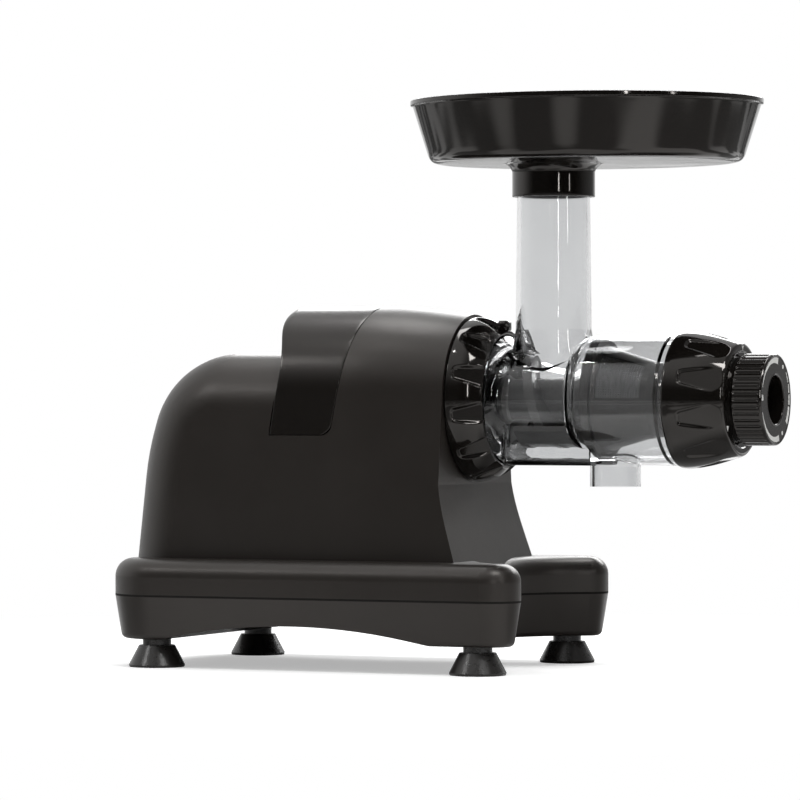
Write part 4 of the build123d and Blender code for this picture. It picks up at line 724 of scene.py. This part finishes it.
# %% [markdown]
# ## Adjusting dial
# Forty round grooves leave forty ribs. One groove and half a rib on each side are
# shaped, and the tree repeats them. The grooves run out before both ends of the dial.

# %% Adjusting dial
RIBS = 40
GROOVE_R, GROOVE_CENTRE = 1.0, 30.15  # radius of a groove, and its centre from the drive axis
GROOVES_FROM, GROOVES_TO, RUN_OUT = 202.5, 220.6, 0.8
CROWN = 0.22  # how much lower the skin lies at a groove than at a rib
RIBBED_R = 29.5  # only the ribbed skin lies outside this radius
skin = divide(soften([(200.4, 29.0), (201.9, 29.0), (201.9, 29.6), (202.6, 29.9), (221.2, 29.9),
                      (222.4, 29.3), (222.5, 28.6), (222.2, 28.1), (222.2, 16.9), (222.45, 16.5),
                      (222.0, 15.75), (220.5, 15.75)], 0.35), 0.7)
inner = soften([(220.5, 15.75), (204.5, 15.75), (204.5, 17.6), (218.5, 17.6), (218.5, 25.6), (191, 25.6),
                (191, 29.0), (194.6, 29.0), (194.6, 27.7), (201.9, 27.7), (201.9, 29.0)], 0.3, 2)[:-1]
outline = skin[4:] + inner[1:]
half = math.pi / RIBS
offset, x, r = fan(outline, half, 14)
groove = GROOVE_CENTRE - np.sqrt(np.maximum(GROOVE_R ** 2 - (GROOVE_CENTRE * np.sin(offset)) ** 2, 0))
reach = np.clip((x - GROOVES_FROM) / RUN_OUT, 0, 1) * np.clip((GROOVES_TO - x) / RUN_OUT, 0, 1)
crown = CROWN * (np.abs(offset) / half) ** 2 - CROWN
shaped = np.minimum(r, groove) + crown
r = np.where(r > RIBBED_R, r + reach * (shaped - r), r)
sector = fan_object("dial_body", x, r, offset)
dial = turned_array(sector, RIBS, crease=60)
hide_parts("adjust_dial")
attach(dial, "adjust_dial")
print("dial:", len(dial.data.polygons), "faces")

# %% [markdown]
# ## Printed marks
# Pad printing leaves a layer of ink a few hundredths of a millimetre thick. Each mark
# is a thin plate with its own edge, so that it shades as ink does and not as a decal.
# Arcs and dots on the dial show how far it is turned, against two pointers on the cap.

# %% Mark shapes
INK_HEIGHT, INK_SUNK = 0.06, 0.02  # how far the ink stands out of the face and reaches into it


def ink(name, x, shapes):
    """Plates of ink on a face square to the drive axis; each shape is a loop of (radius, angle)."""
    made = mesh_object(name, material=finishes["marking_ink"])
    with edited(made) as work:
        for shape in shapes:
            loop = [around(radius, math.radians(angle)) for radius, angle in shape]
            low = [work.verts.new(((x - INK_SUNK) * MM, y * MM, z * MM)) for y, z in loop]
            top = [work.verts.new(((x + INK_HEIGHT) * MM, y * MM, z * MM)) for y, z in loop]
            work.faces.new(top)
            for i in range(len(loop)):
                j = (i + 1) % len(loop)
                work.faces.new((low[i], low[j], top[j], top[i]))
            work.faces.new(low[::-1])
        wide = [f for f in work.faces if len(f.verts) > 4]
        bmesh.ops.triangulate(work, faces=wide, ngon_method="EAR_CLIP")
        bmesh.ops.recalc_face_normals(work, faces=work.faces)
    return made


def band(start, end, outer, inner_start, inner_end, steps=24):
    """Arc that widens or narrows from start to end degrees."""
    angles = np.linspace(start, end, steps)
    inward = np.linspace(inner_start, inner_end, steps)
    return [(outer, a) for a in angles] + [(r, a) for r, a in zip(inward[::-1], angles[::-1])]


def dot(radius, angle, size):
    """Round dot, as a loop of (radius, angle)."""
    loop = []
    for turn in np.linspace(0, math.tau, 20, endpoint=False):
        y = radius * math.cos(math.radians(angle)) + size / 2 * math.cos(turn)
        z = radius * math.sin(math.radians(angle)) + size / 2 * math.sin(turn)
        loop.append((math.hypot(y, z), math.degrees(math.atan2(z, y))))
    return loop


print("mark shapes ready")

# %% Printed marks
DIAL_FACE, CAP_FACE = 222.2, 199.5
dial_marks = ink("dial_marks", DIAL_FACE, [
    band(80, 163, 27.4, 23.2, 27.0), band(197, 284, 27.4, 26.8, 23.4),
    band(173, 181, 27.4, 24.6, 24.6, 6), dot(25.4, 57, 2.8), dot(25.0, -60, 2.8),
    band(41.5, 25, 27.2, 26.2, 25.8, 8), band(22.5, 10, 27.2, 25.8, 25.2, 8),
    band(7.5, -7.5, 27.2, 25.0, 24.6, 8), band(-10, -36, 27.2, 24.4, 23.6, 12)])
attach(dial_marks, "adjust_dial")
cap_marks = ink("cap_marks", CAP_FACE, [
    [(35.2, at - 3.6), (35.2, at + 3.6), (31.9, at)] for at in (90, 212)])
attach(cap_marks, "end_cap")
print("printed marks:", len(dial_marks.data.polygons) + len(cap_marks.data.polygons), "faces")

# %% [markdown]
# ## Handle cover
# The cover is a saddle of glossy plastic let into the tower, and its rear lip hides a
# pocket for the fingers. It is a sheet bent over the tower's arch, cut at the front and
# the rear by two smooth curves. Every rib of the mesh is one closed loop across the
# sheet: outer skin, rounded front edge, inner skin, rounded rear edge. The small edge
# radius is what catches the bright line along a real moulded edge.

# %% Cover edges
def natural_spline(points, count):
    """Smooth curve through points, evenly sampled along their chords."""
    p = np.array(points, float)
    at = np.concatenate([[0], np.cumsum(np.linalg.norm(np.diff(p, axis=0), axis=1))])
    gap, last = np.diff(at), len(at) - 1
    system, right = np.eye(last + 1), np.zeros((last + 1, 2))
    for i in range(1, last):
        system[i, i - 1:i + 2] = gap[i - 1], 2 * (gap[i - 1] + gap[i]), gap[i]
        right[i] = 6 * ((p[i + 1] - p[i]) / gap[i] - (p[i] - p[i - 1]) / gap[i - 1])
    bend = np.linalg.solve(system, right)
    u = np.linspace(0, at[-1], count)
    i = np.clip(np.searchsorted(at, u, "right") - 1, 0, last - 1)
    a, b, g = (at[i + 1] - u) / gap[i], (u - at[i]) / gap[i], gap[i]
    pull = ((a ** 3 - a)[:, None] * bend[i] + (b ** 3 - b)[:, None] * bend[i + 1]) * (g ** 2)[:, None] / 6
    return a[:, None] * p[i] + b[:, None] * p[i + 1] + pull


COVER_FOOT, COVER_CORNER, COVER_EDGE = 154.6, 8.0, 0.7  # lower end, corner and edge radii
TOWER_R, TOWER_FOOT, TOWER_FOOT_Z = 62.6, 69.4, 60.0  # the arch, and where its walls would end below
reach = math.hypot(TOWER_FOOT, AXIS_Z - TOWER_FOOT_Z)
LEAN = math.acos(TOWER_R / reach) - math.atan2(AXIS_Z - TOWER_FOOT_Z, TOWER_FOOT)
rear_line = natural_spline([(-109.9, COVER_FOOT), (-106.8, 178.0), (-104.8, 202.0), (-107.0, 214.3),
                            (-113.0, 230.0), (-118.5, 248.0)], 200)
front_line = natural_spline([(-66.0, COVER_FOOT), (-62.2, 178.0), (-58.4, 201.0), (-54.9, 225.0),
                             (-48.5, 248.0)], 200)
print("tower walls lean in by", round(math.degrees(LEAN), 2), "degrees")

# %% Ribs of the cover
LIP_X, LIP_R = -109.0, 9.0  # the rear rolls down from this station with this radius
THICK_Z, THICK_FADE = 205.0, 8.0  # above this height the lip grows thicker,
THICK_X, THICK_RUN, THICK_MORE = -103.0, 3.0, 3.0  # behind this station and by this much
SHEET, SHEET_STEPS = 3.0, 44  # thickness of the sheet, and points along it
NOSE_DROP, NOSE_X, NOSE_RUN = 0.25, -58.0, 16.0  # the tower narrows a little towards its front


def cover_limits(height):
    """Rear and front station of the cover at a height."""
    rear = np.interp(height, rear_line[:, 1], rear_line[:, 0])
    front = np.interp(height, front_line[:, 1], front_line[:, 0])
    low = max(0.0, COVER_FOOT + COVER_CORNER - height)
    return rear, front - COVER_CORNER + math.sqrt(max(0.0, COVER_CORNER ** 2 - low ** 2))


def lip_drop(x):
    """How far the rear of the cover rolls down."""
    return LIP_R - np.sqrt(LIP_R ** 2 - np.clip(LIP_X - x, 0, LIP_R) ** 2)


def cover_rib(y, z, ny, nz, arc):
    """Closed loop across the cover at one place of the arch, with its outward normal."""
    rear, front = cover_limits(z)
    for _ in range(3):
        rear, front = cover_limits(z - arc * lip_drop(rear) * nz)
    turn, e = np.linspace(0, math.pi / 2, 5), COVER_EDGE
    x = np.concatenate([rear + e - e * np.cos(turn), np.linspace(rear + e, front - e, SHEET_STEPS)[1:-1],
                        front - e + e * np.sin(turn)])
    depth = np.concatenate([e - e * np.sin(turn), np.zeros(SHEET_STEPS - 2), e * (1 - np.cos(turn))])
    lip = np.clip((z - THICK_Z) / THICK_FADE, 0, 1)
    thick = SHEET + THICK_MORE * lip * np.clip((THICK_X - x) / THICK_RUN, 0, 1)
    narrow = NOSE_DROP * np.clip((x - NOSE_X) / NOSE_RUN, 0, 1) ** 1.5
    down = arc * lip_drop(x) + narrow
    x, depth = np.concatenate([x, x[::-1]]), np.concatenate([down + depth, (down + thick - depth)[::-1]])
    return np.stack([x, y - depth * ny, z - depth * nz], axis=-1)


print("cover ribs ready")

# %% Handle cover
lean_y, lean_z = math.cos(LEAN), math.sin(LEAN)
tangent_z = AXIS_Z + TOWER_R * lean_z
wall_z = [COVER_FOOT + COVER_CORNER * (1 - math.cos(a)) for a in np.linspace(0, math.pi / 2, 9)]
wall_z += list(np.linspace(COVER_FOOT + COVER_CORNER, tangent_z, 10)[1:-1])
wall = [((TOWER_R * lean_y + (tangent_z - h) * math.tan(LEAN)), h) for h in wall_z]
ribs = [cover_rib(y, z, lean_y, lean_z, 0.0) for y, z in wall]
for a in np.linspace(LEAN, math.pi - LEAN, 121):
    blend_in = min(1.0, 8.0 * min(a - LEAN, math.pi - LEAN - a))
    c, d = math.cos(a), math.sin(a)
    ribs.append(cover_rib(TOWER_R * c, AXIS_Z + TOWER_R * d, c, d, blend_in))
ribs += [cover_rib(-y, z, -lean_y, lean_z, 0.0) for y, z in wall[::-1]]
cover = grid_object("handle_cover_skin", np.array(ribs), False, True, "cover_plastic")
close_ends(cover)
tidy(cover)
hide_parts("handle_cover")
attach(cover, "housing")
print("handle cover:", len(cover.data.polygons), "faces")

# %% [markdown]
# ## Hopper tray
# The tray is one oval shell with a round collar below it that slips over the feed
# tube. It is a loft: each row is an ellipse or a circle, and the rows run up the
# inside of the collar, over the floor and the rim, and back down outside.

# %% Rows of the tray
TUBE_X, TRAY_X, TRAY_TOP = 67.5, 90.6, 374.8
OVAL_LENGTH, OVAL_WIDTH = 104.5, 90.5  # half axes of the oval where wall and floor meet
WIDTH_SPREAD = 0.94  # the sides lean out a little less than the ends


def oval_row(spread, height):
    """Ellipse of the tray, spread outwards from its foot by a distance."""
    return (TRAY_X, OVAL_LENGTH + spread, OVAL_WIDTH + WIDTH_SPREAD * spread, height)


def circle_row(radius, height):
    """Circle about the feed tube."""
    return (TUBE_X, radius, radius, height)


def between(first, last, count):
    """Rows that run from one to the other, without the ends."""
    return [tuple(np.array(first) + (np.array(last) - np.array(first)) * share)
            for share in np.linspace(0, 1, count + 2)[1:-1]]


print("tray rows ready")

# %% Hopper tray
inside_collar = divide(soften([(25.6, 311.5), (24.7, 311.5), (24.7, 328.0), (21.8, 328.0), (21.8, 333.3),
                               (23.4, 336.1), (26.5, 336.1)], 0.7), 3.0)
inside_wall = divide(soften([(-12.0, 336.1), (-0.9, 336.1), (10.2, 371.5), (10.8, 374.0)], 7.5, 8), 3.0)
rim = divide(soften([(10.8, 374.0), (11.2, TRAY_TOP), (13.6, TRAY_TOP), (13.6, 371.6), (12.0, 371.3),
                     (11.6, 370.0)], 0.5), 1.5)
outside_wall = divide(soften([(11.6, 370.0), (0.0, 333.5), (-13.0, 333.5)], 7.5, 8), 3.0)
outside_collar = divide(soften([(34.0, 333.5), (31.6, 333.5), (29.0, 331.2), (27.4, 328.8), (27.4, 311.5),
                                (25.6, 311.5)], 1.6, 4), 3.0)
rows = [circle_row(*p) for p in inside_collar]
rows += between(rows[-1], oval_row(*inside_wall[0]), 14)
rows += [oval_row(*p) for p in inside_wall[:-1] + rim + outside_wall[1:]]
rows += between(rows[-1], circle_row(*outside_collar[0]), 14)
rows += [circle_row(*p) for p in outside_collar[:-1]]
turn = np.linspace(0, math.tau, 288, endpoint=False)
points = np.array([[(cx + a * math.cos(t), b * math.sin(t), height) for t in turn]
                   for cx, a, b, height in rows])
tray = tidy(grid_object("tray_shell", points, True, True, "gloss_black"), crease=50)
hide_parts("hopper_tray")
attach(tray, "hopper_tray")
print("tray:", len(tray.data.polygons), "faces")

# %% [markdown]
# ## Juicing screen
# The screen is a sheet with hundreds of small holes. One cell with one hole is enough:
# the tree lays the cell out on a grid and then bends the grid round the drive axis, onto
# the cone at the front and onto the cradle under the auger.

# %% One cell
def holed_cell(hole_x, hole_y):
    """Unit cell, one wide and one high, with an eight-sided hole through it."""
    rim = [(0.5, 0), (0.5, 0.5), (0, 0.5), (-0.5, 0.5), (-0.5, 0), (-0.5, -0.5), (0, -0.5), (0.5, -0.5)]
    bore = [(hole_x * math.cos(k * math.tau / 8), hole_y * math.sin(k * math.tau / 8)) for k in range(8)]
    verts = [(*p, level) for level in (0, 1) for p in rim + bore]
    faces = []
    for k in range(8):
        n = (k + 1) % 8
        faces += [(n, k, 8 + k, 8 + n), (16 + k, 16 + n, 24 + n, 24 + k), (8 + n, 8 + k, 24 + k, 24 + n)]
    return mesh_object("holed_cell", verts, faces)


print("cell ready")

# %% Bent grid
bent_grid, start, end = new_tree("bent_grid", [
    ("Columns", "Int"), ("Rows", "Int"), ("Centre X", "Float"), ("Pitch", "Float"), ("Centre Angle", "Float"),
    ("Angle Step", "Float"), ("Radius", "Float"), ("Slope", "Float"), ("Thickness", "Float"),
    ("Axis Height", "Float"), ("Material", "Material")])
given = start.outputs
lattice = add(bent_grid, "GeometryNodeMeshGrid", {
    "Size X": math_node(bent_grid, "SUBTRACT", given["Columns"], 1.0), "Vertices X": given["Columns"],
    "Size Y": math_node(bent_grid, "SUBTRACT", given["Rows"], 1.0), "Vertices Y": given["Rows"]})
laid = add(bent_grid, "GeometryNodeInstanceOnPoints", {"Points": lattice.outputs["Mesh"],
                                                       "Instance": given["Geometry"]})
sheet = add(bent_grid, "GeometryNodeRealizeInstances", {0: laid.outputs[0]})
joined = add(bent_grid, "GeometryNodeMergeByDistance", {"Geometry": sheet.outputs[0], "Distance": 0.01})
flat = add(bent_grid, "ShaderNodeSeparateXYZ", {0: add(bent_grid, "GeometryNodeInputPosition").outputs[0]})
run = math_node(bent_grid, "MULTIPLY", flat.outputs["X"], given["Pitch"])
angle = math_node(bent_grid, "MULTIPLY_ADD", flat.outputs["Y"], given["Angle Step"], given["Centre Angle"])
lift = math_node(bent_grid, "MULTIPLY_ADD", flat.outputs["Z"], given["Thickness"], given["Radius"])
radius = math_node(bent_grid, "MULTIPLY_ADD", run, given["Slope"], lift)
rise = math_node(bent_grid, "MULTIPLY", radius, math_node(bent_grid, "SINE", angle))
bent = add(bent_grid, "ShaderNodeCombineXYZ", {
    "X": math_node(bent_grid, "ADD", run, given["Centre X"]),
    "Y": math_node(bent_grid, "MULTIPLY", radius, math_node(bent_grid, "COSINE", angle)),
    "Z": math_node(bent_grid, "ADD", rise, given["Axis Height"])})
moved = add(bent_grid, "GeometryNodeSetPosition", {"Geometry": joined.outputs[0],
                                                   "Position": bent.outputs[0]})
close_tree(bent_grid, start, end, moved.outputs[0])
print("bent grid:", len(bent_grid.nodes), "nodes")

# %% Perforated sheets
SHEET_METAL = 0.7  # thickness


def perforated(name, hole, columns, rows, centre, length, centre_angle, span, radius, slope):
    """One curved sheet of holes with a length and a span in degrees, closed round its border."""
    made = bake(holed_cell(*hole), bent_grid, {
        "Columns": columns, "Rows": rows, "Centre X": centre * MM, "Pitch": length / columns * MM,
        "Centre Angle": math.radians(centre_angle), "Angle Step": math.radians(span / rows),
        "Radius": radius * MM, "Slope": slope, "Thickness": SHEET_METAL * MM,
        "Axis Height": AXIS_Z * MM, "Material": finishes["screen_steel"]})
    made.name = name
    with edited(made) as work:
        bmesh.ops.bridge_loops(work, edges=[e for e in work.edges if e.is_boundary])
        bmesh.ops.recalc_face_normals(work, faces=work.faces)
    return made


CRADLE_R = 30.65
CONE_FOOT, CONE_FOOT_R, CONE_SLOPE = 107.0, 32.6, -0.28  # where the frame's cone starts
CONE_X, SHEET_OUT = 124.0, 0.55  # middle of the sheets, and how far they lie outside that cone
CONE_R = CONE_FOOT_R + (CONE_X - CONE_FOOT) * CONE_SLOPE + SHEET_OUT
sheets = [perforated("cone_sheet", (0.30, 0.30), 18, 19, CONE_X, 28.0, at, 56.0, CONE_R, CONE_SLOPE)
          for at in (30, 150, 270)]
sheets += [perforated("cradle_sheet", (0.30, 0.25), 14, 13, at, 20.0, 270, 53.0, CRADLE_R, 0.0)
           for at in (63.0, 87.0)]
screens = merged("screen_sheets", *sheets)
smooth(screens, 30)
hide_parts("screen_mesh")
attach(screens, "housing")
print("screens:", len(screens.data.polygons), "faces")

# %% [markdown]
# ## Screws
# Every screw has the same pan head with a cross recess and a plain shank. One screw is
# turned from an outline, the cross is pressed into its top, and the tree sets a copy on
# each point of a list.

# %% Copies on points
placed_copies, start, end = new_tree("placed_copies", [
    ("Piece", "Object"), ("Turn", "Vector"), ("Material", "Material")])
given = start.outputs
piece = add(placed_copies, "GeometryNodeObjectInfo", {"Object": given["Piece"]})
put = add(placed_copies, "GeometryNodeInstanceOnPoints", {
    "Points": given["Geometry"], "Instance": piece.outputs["Geometry"], "Rotation": given["Turn"]})
close_tree(placed_copies, start, end, put.outputs[0])
print("trees:", [t.name for t in bpy.data.node_groups])

# %% One screw
PITCH, ROOT = 1.2, 0.90  # of the thread, in millimetres and as a share of the shank's radius
ARM_LONG, ARM_WIDE = 0.62, 0.16  # reach and half width of the cross, as shares of the head's radius
CROSS_DEEP = 0.4  # its depth, as a share of the head's height


def screw(head_r, head_h, shank_r, length):
    """Pan-head screw with its seat at zero, its head up and a cross pressed into it."""
    dome = [(head_r * math.sin(a), head_h * (0.45 + 0.55 * math.cos(a)))
            for a in np.linspace(0, math.pi / 2, 9)]
    outline = dome + [(head_r, 0.0), (shank_r, 0.0)]
    thread = np.linspace(-0.6, -(length - shank_r), 2 * max(3, int((length - shank_r) / PITCH)) + 1)
    outline += [(shank_r * (ROOT if k % 2 else 1.0), z) for k, z in enumerate(thread)]
    outline += [(0.5 * shank_r, -length), (0.0, -length)]
    turn = np.linspace(0, math.tau, 48, endpoint=False)
    rows = []
    for r, z in divide([np.array(p, float) for p in outline], 0.35 * head_r):
        row = []
        for t in turn:
            x, y = r * math.cos(t), r * math.sin(t)
            arm = min(abs(x), abs(y)) < ARM_WIDE * head_r and r < ARM_LONG * head_r
            row.append((x, y, z - (CROSS_DEEP * head_h if arm and z > 0.3 * head_h else 0.0)))
        rows.append(row)
    return tidy(grid_object("screw", np.array(rows), False, True, "zinc_steel"), crease=30, weld=0.002)


print("screw ready")

# %% Screws
def fasten(node, body, spots, turn, size):
    """One screw on each spot, its head turned from +Z, in place of a CAD node.

    The size is head radius, head height, shank radius and length."""
    master = screw(*size)
    made = mesh_object(node + "_set", [tuple(c * MM for c in spot) for spot in spots])
    bake(made, placed_copies, {"Piece": master, "Turn": turn, "Material": finishes["zinc_steel"]})
    bpy.data.objects.remove(master)
    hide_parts(node)
    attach(made, body)


UP, DOWN, FORWARD = (0, 0, 0), (math.pi, 0, 0), (0, math.pi / 2, 0)  # where a head faces
FEET = [(x, y) for x in (46.0, -186.0) for y in (78.0, -78.0)]
fasten("foot_screws", "housing", [(x, y, 6.0) for x, y in FEET], DOWN, (5.0, 2.5, 1.9, 24.0))
fasten("housing_screws", "housing", [(x, y, 36.0) for x in (-150.0, -20.0) for y in (84.0, -84.0)],
       DOWN, (3.6, 2.3, 1.6, 29.5))
collar_spots = [(14.0, *around(33.0, a)) for a in np.radians((45, 135, 225, 315))]
fasten("collar_screws", "housing", collar_spots, FORWARD, (3.6, 1.8, 2.0, 10.8))
CASE_SCREWS = [(0.0, 45.0), (44.0, -9.0), (-44.0, -9.0), (36.5, -70.0), (-36.5, -70.0), (0.0, -115.0)]
case_spots = [(6.0, y, AXIS_Z + z) for y, z in CASE_SCREWS]
fasten("gearbox_screws", "housing", case_spots, FORWARD, (3.2, 2.2, 1.7, 14.0))
fasten("motor_screws", "housing", [(x, y, 58.0) for x in (-46.0, -122.0) for y in (25.0, -25.0)],
       UP, (3.6, 2.0, 2.0, 7.8))

# %% [markdown]
# ## Marks on the rocker
# The rocker has three positions. One bar marks one direction, two bars mark the other,
# and a small ring on the bezel beside it marks off. The bars lie on the two sloping
# faces of the rocker and tilt with it.

# %% Marks on the rocker
ROCKER_X, CASE_X, SWITCH_Z = -213.2, -216.4, 112.0
FACE_SLOPE = 3.0 / 12.0  # each half of the rocker leans out by this much
FACE_TILT = math.atan(FACE_SLOPE)
EDGE_OUT = 4.6  # how far the middle edge of the rocker stands out from its axis
BAR_AT, BAR_OUT = 3.1, 0.03  # how far a bar lies above or below that edge, and stands out


def rocker_bar(across, side):
    """Ink bar on the upper (side 1) or lower (side -1) face of the rocker."""
    bar = block("rocker_bar", (0.0, 0.0, 0.0), (0.12, 0.75, 3.4), 0.04, "marking_ink")
    lean = Matrix.Rotation(-side * FACE_TILT, 4, "Y")
    out = ROCKER_X - EDGE_OUT - FACE_SLOPE * BAR_AT - BAR_OUT
    bar.data.transform(Matrix.Translation(Vector((out, across, SWITCH_Z + side * BAR_AT)) * MM) @ lean)
    return bar


bars = merged("rocker_marks", rocker_bar(0.0, 1), rocker_bar(-1.1, -1), rocker_bar(1.1, -1))
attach(bars, "switch_rocker")
ring_turn = [(math.cos(a), math.sin(a)) for a in np.linspace(0, math.tau, 32, endpoint=False)]
rows = [[(CASE_X + dx, 13.9 + r * c, SWITCH_Z + r * d) for c, d in ring_turn]
        for dx, r in ((0.05, 0.75), (-0.08, 0.78), (-0.08, 1.22), (0.05, 1.25))]
off_ring = tidy(grid_object("off_ring", np.array(rows), True, True, "marking_ink"))
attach(off_ring, "housing")
print("rocker marks:", len(bars.data.polygons) + len(off_ring.data.polygons), "faces")
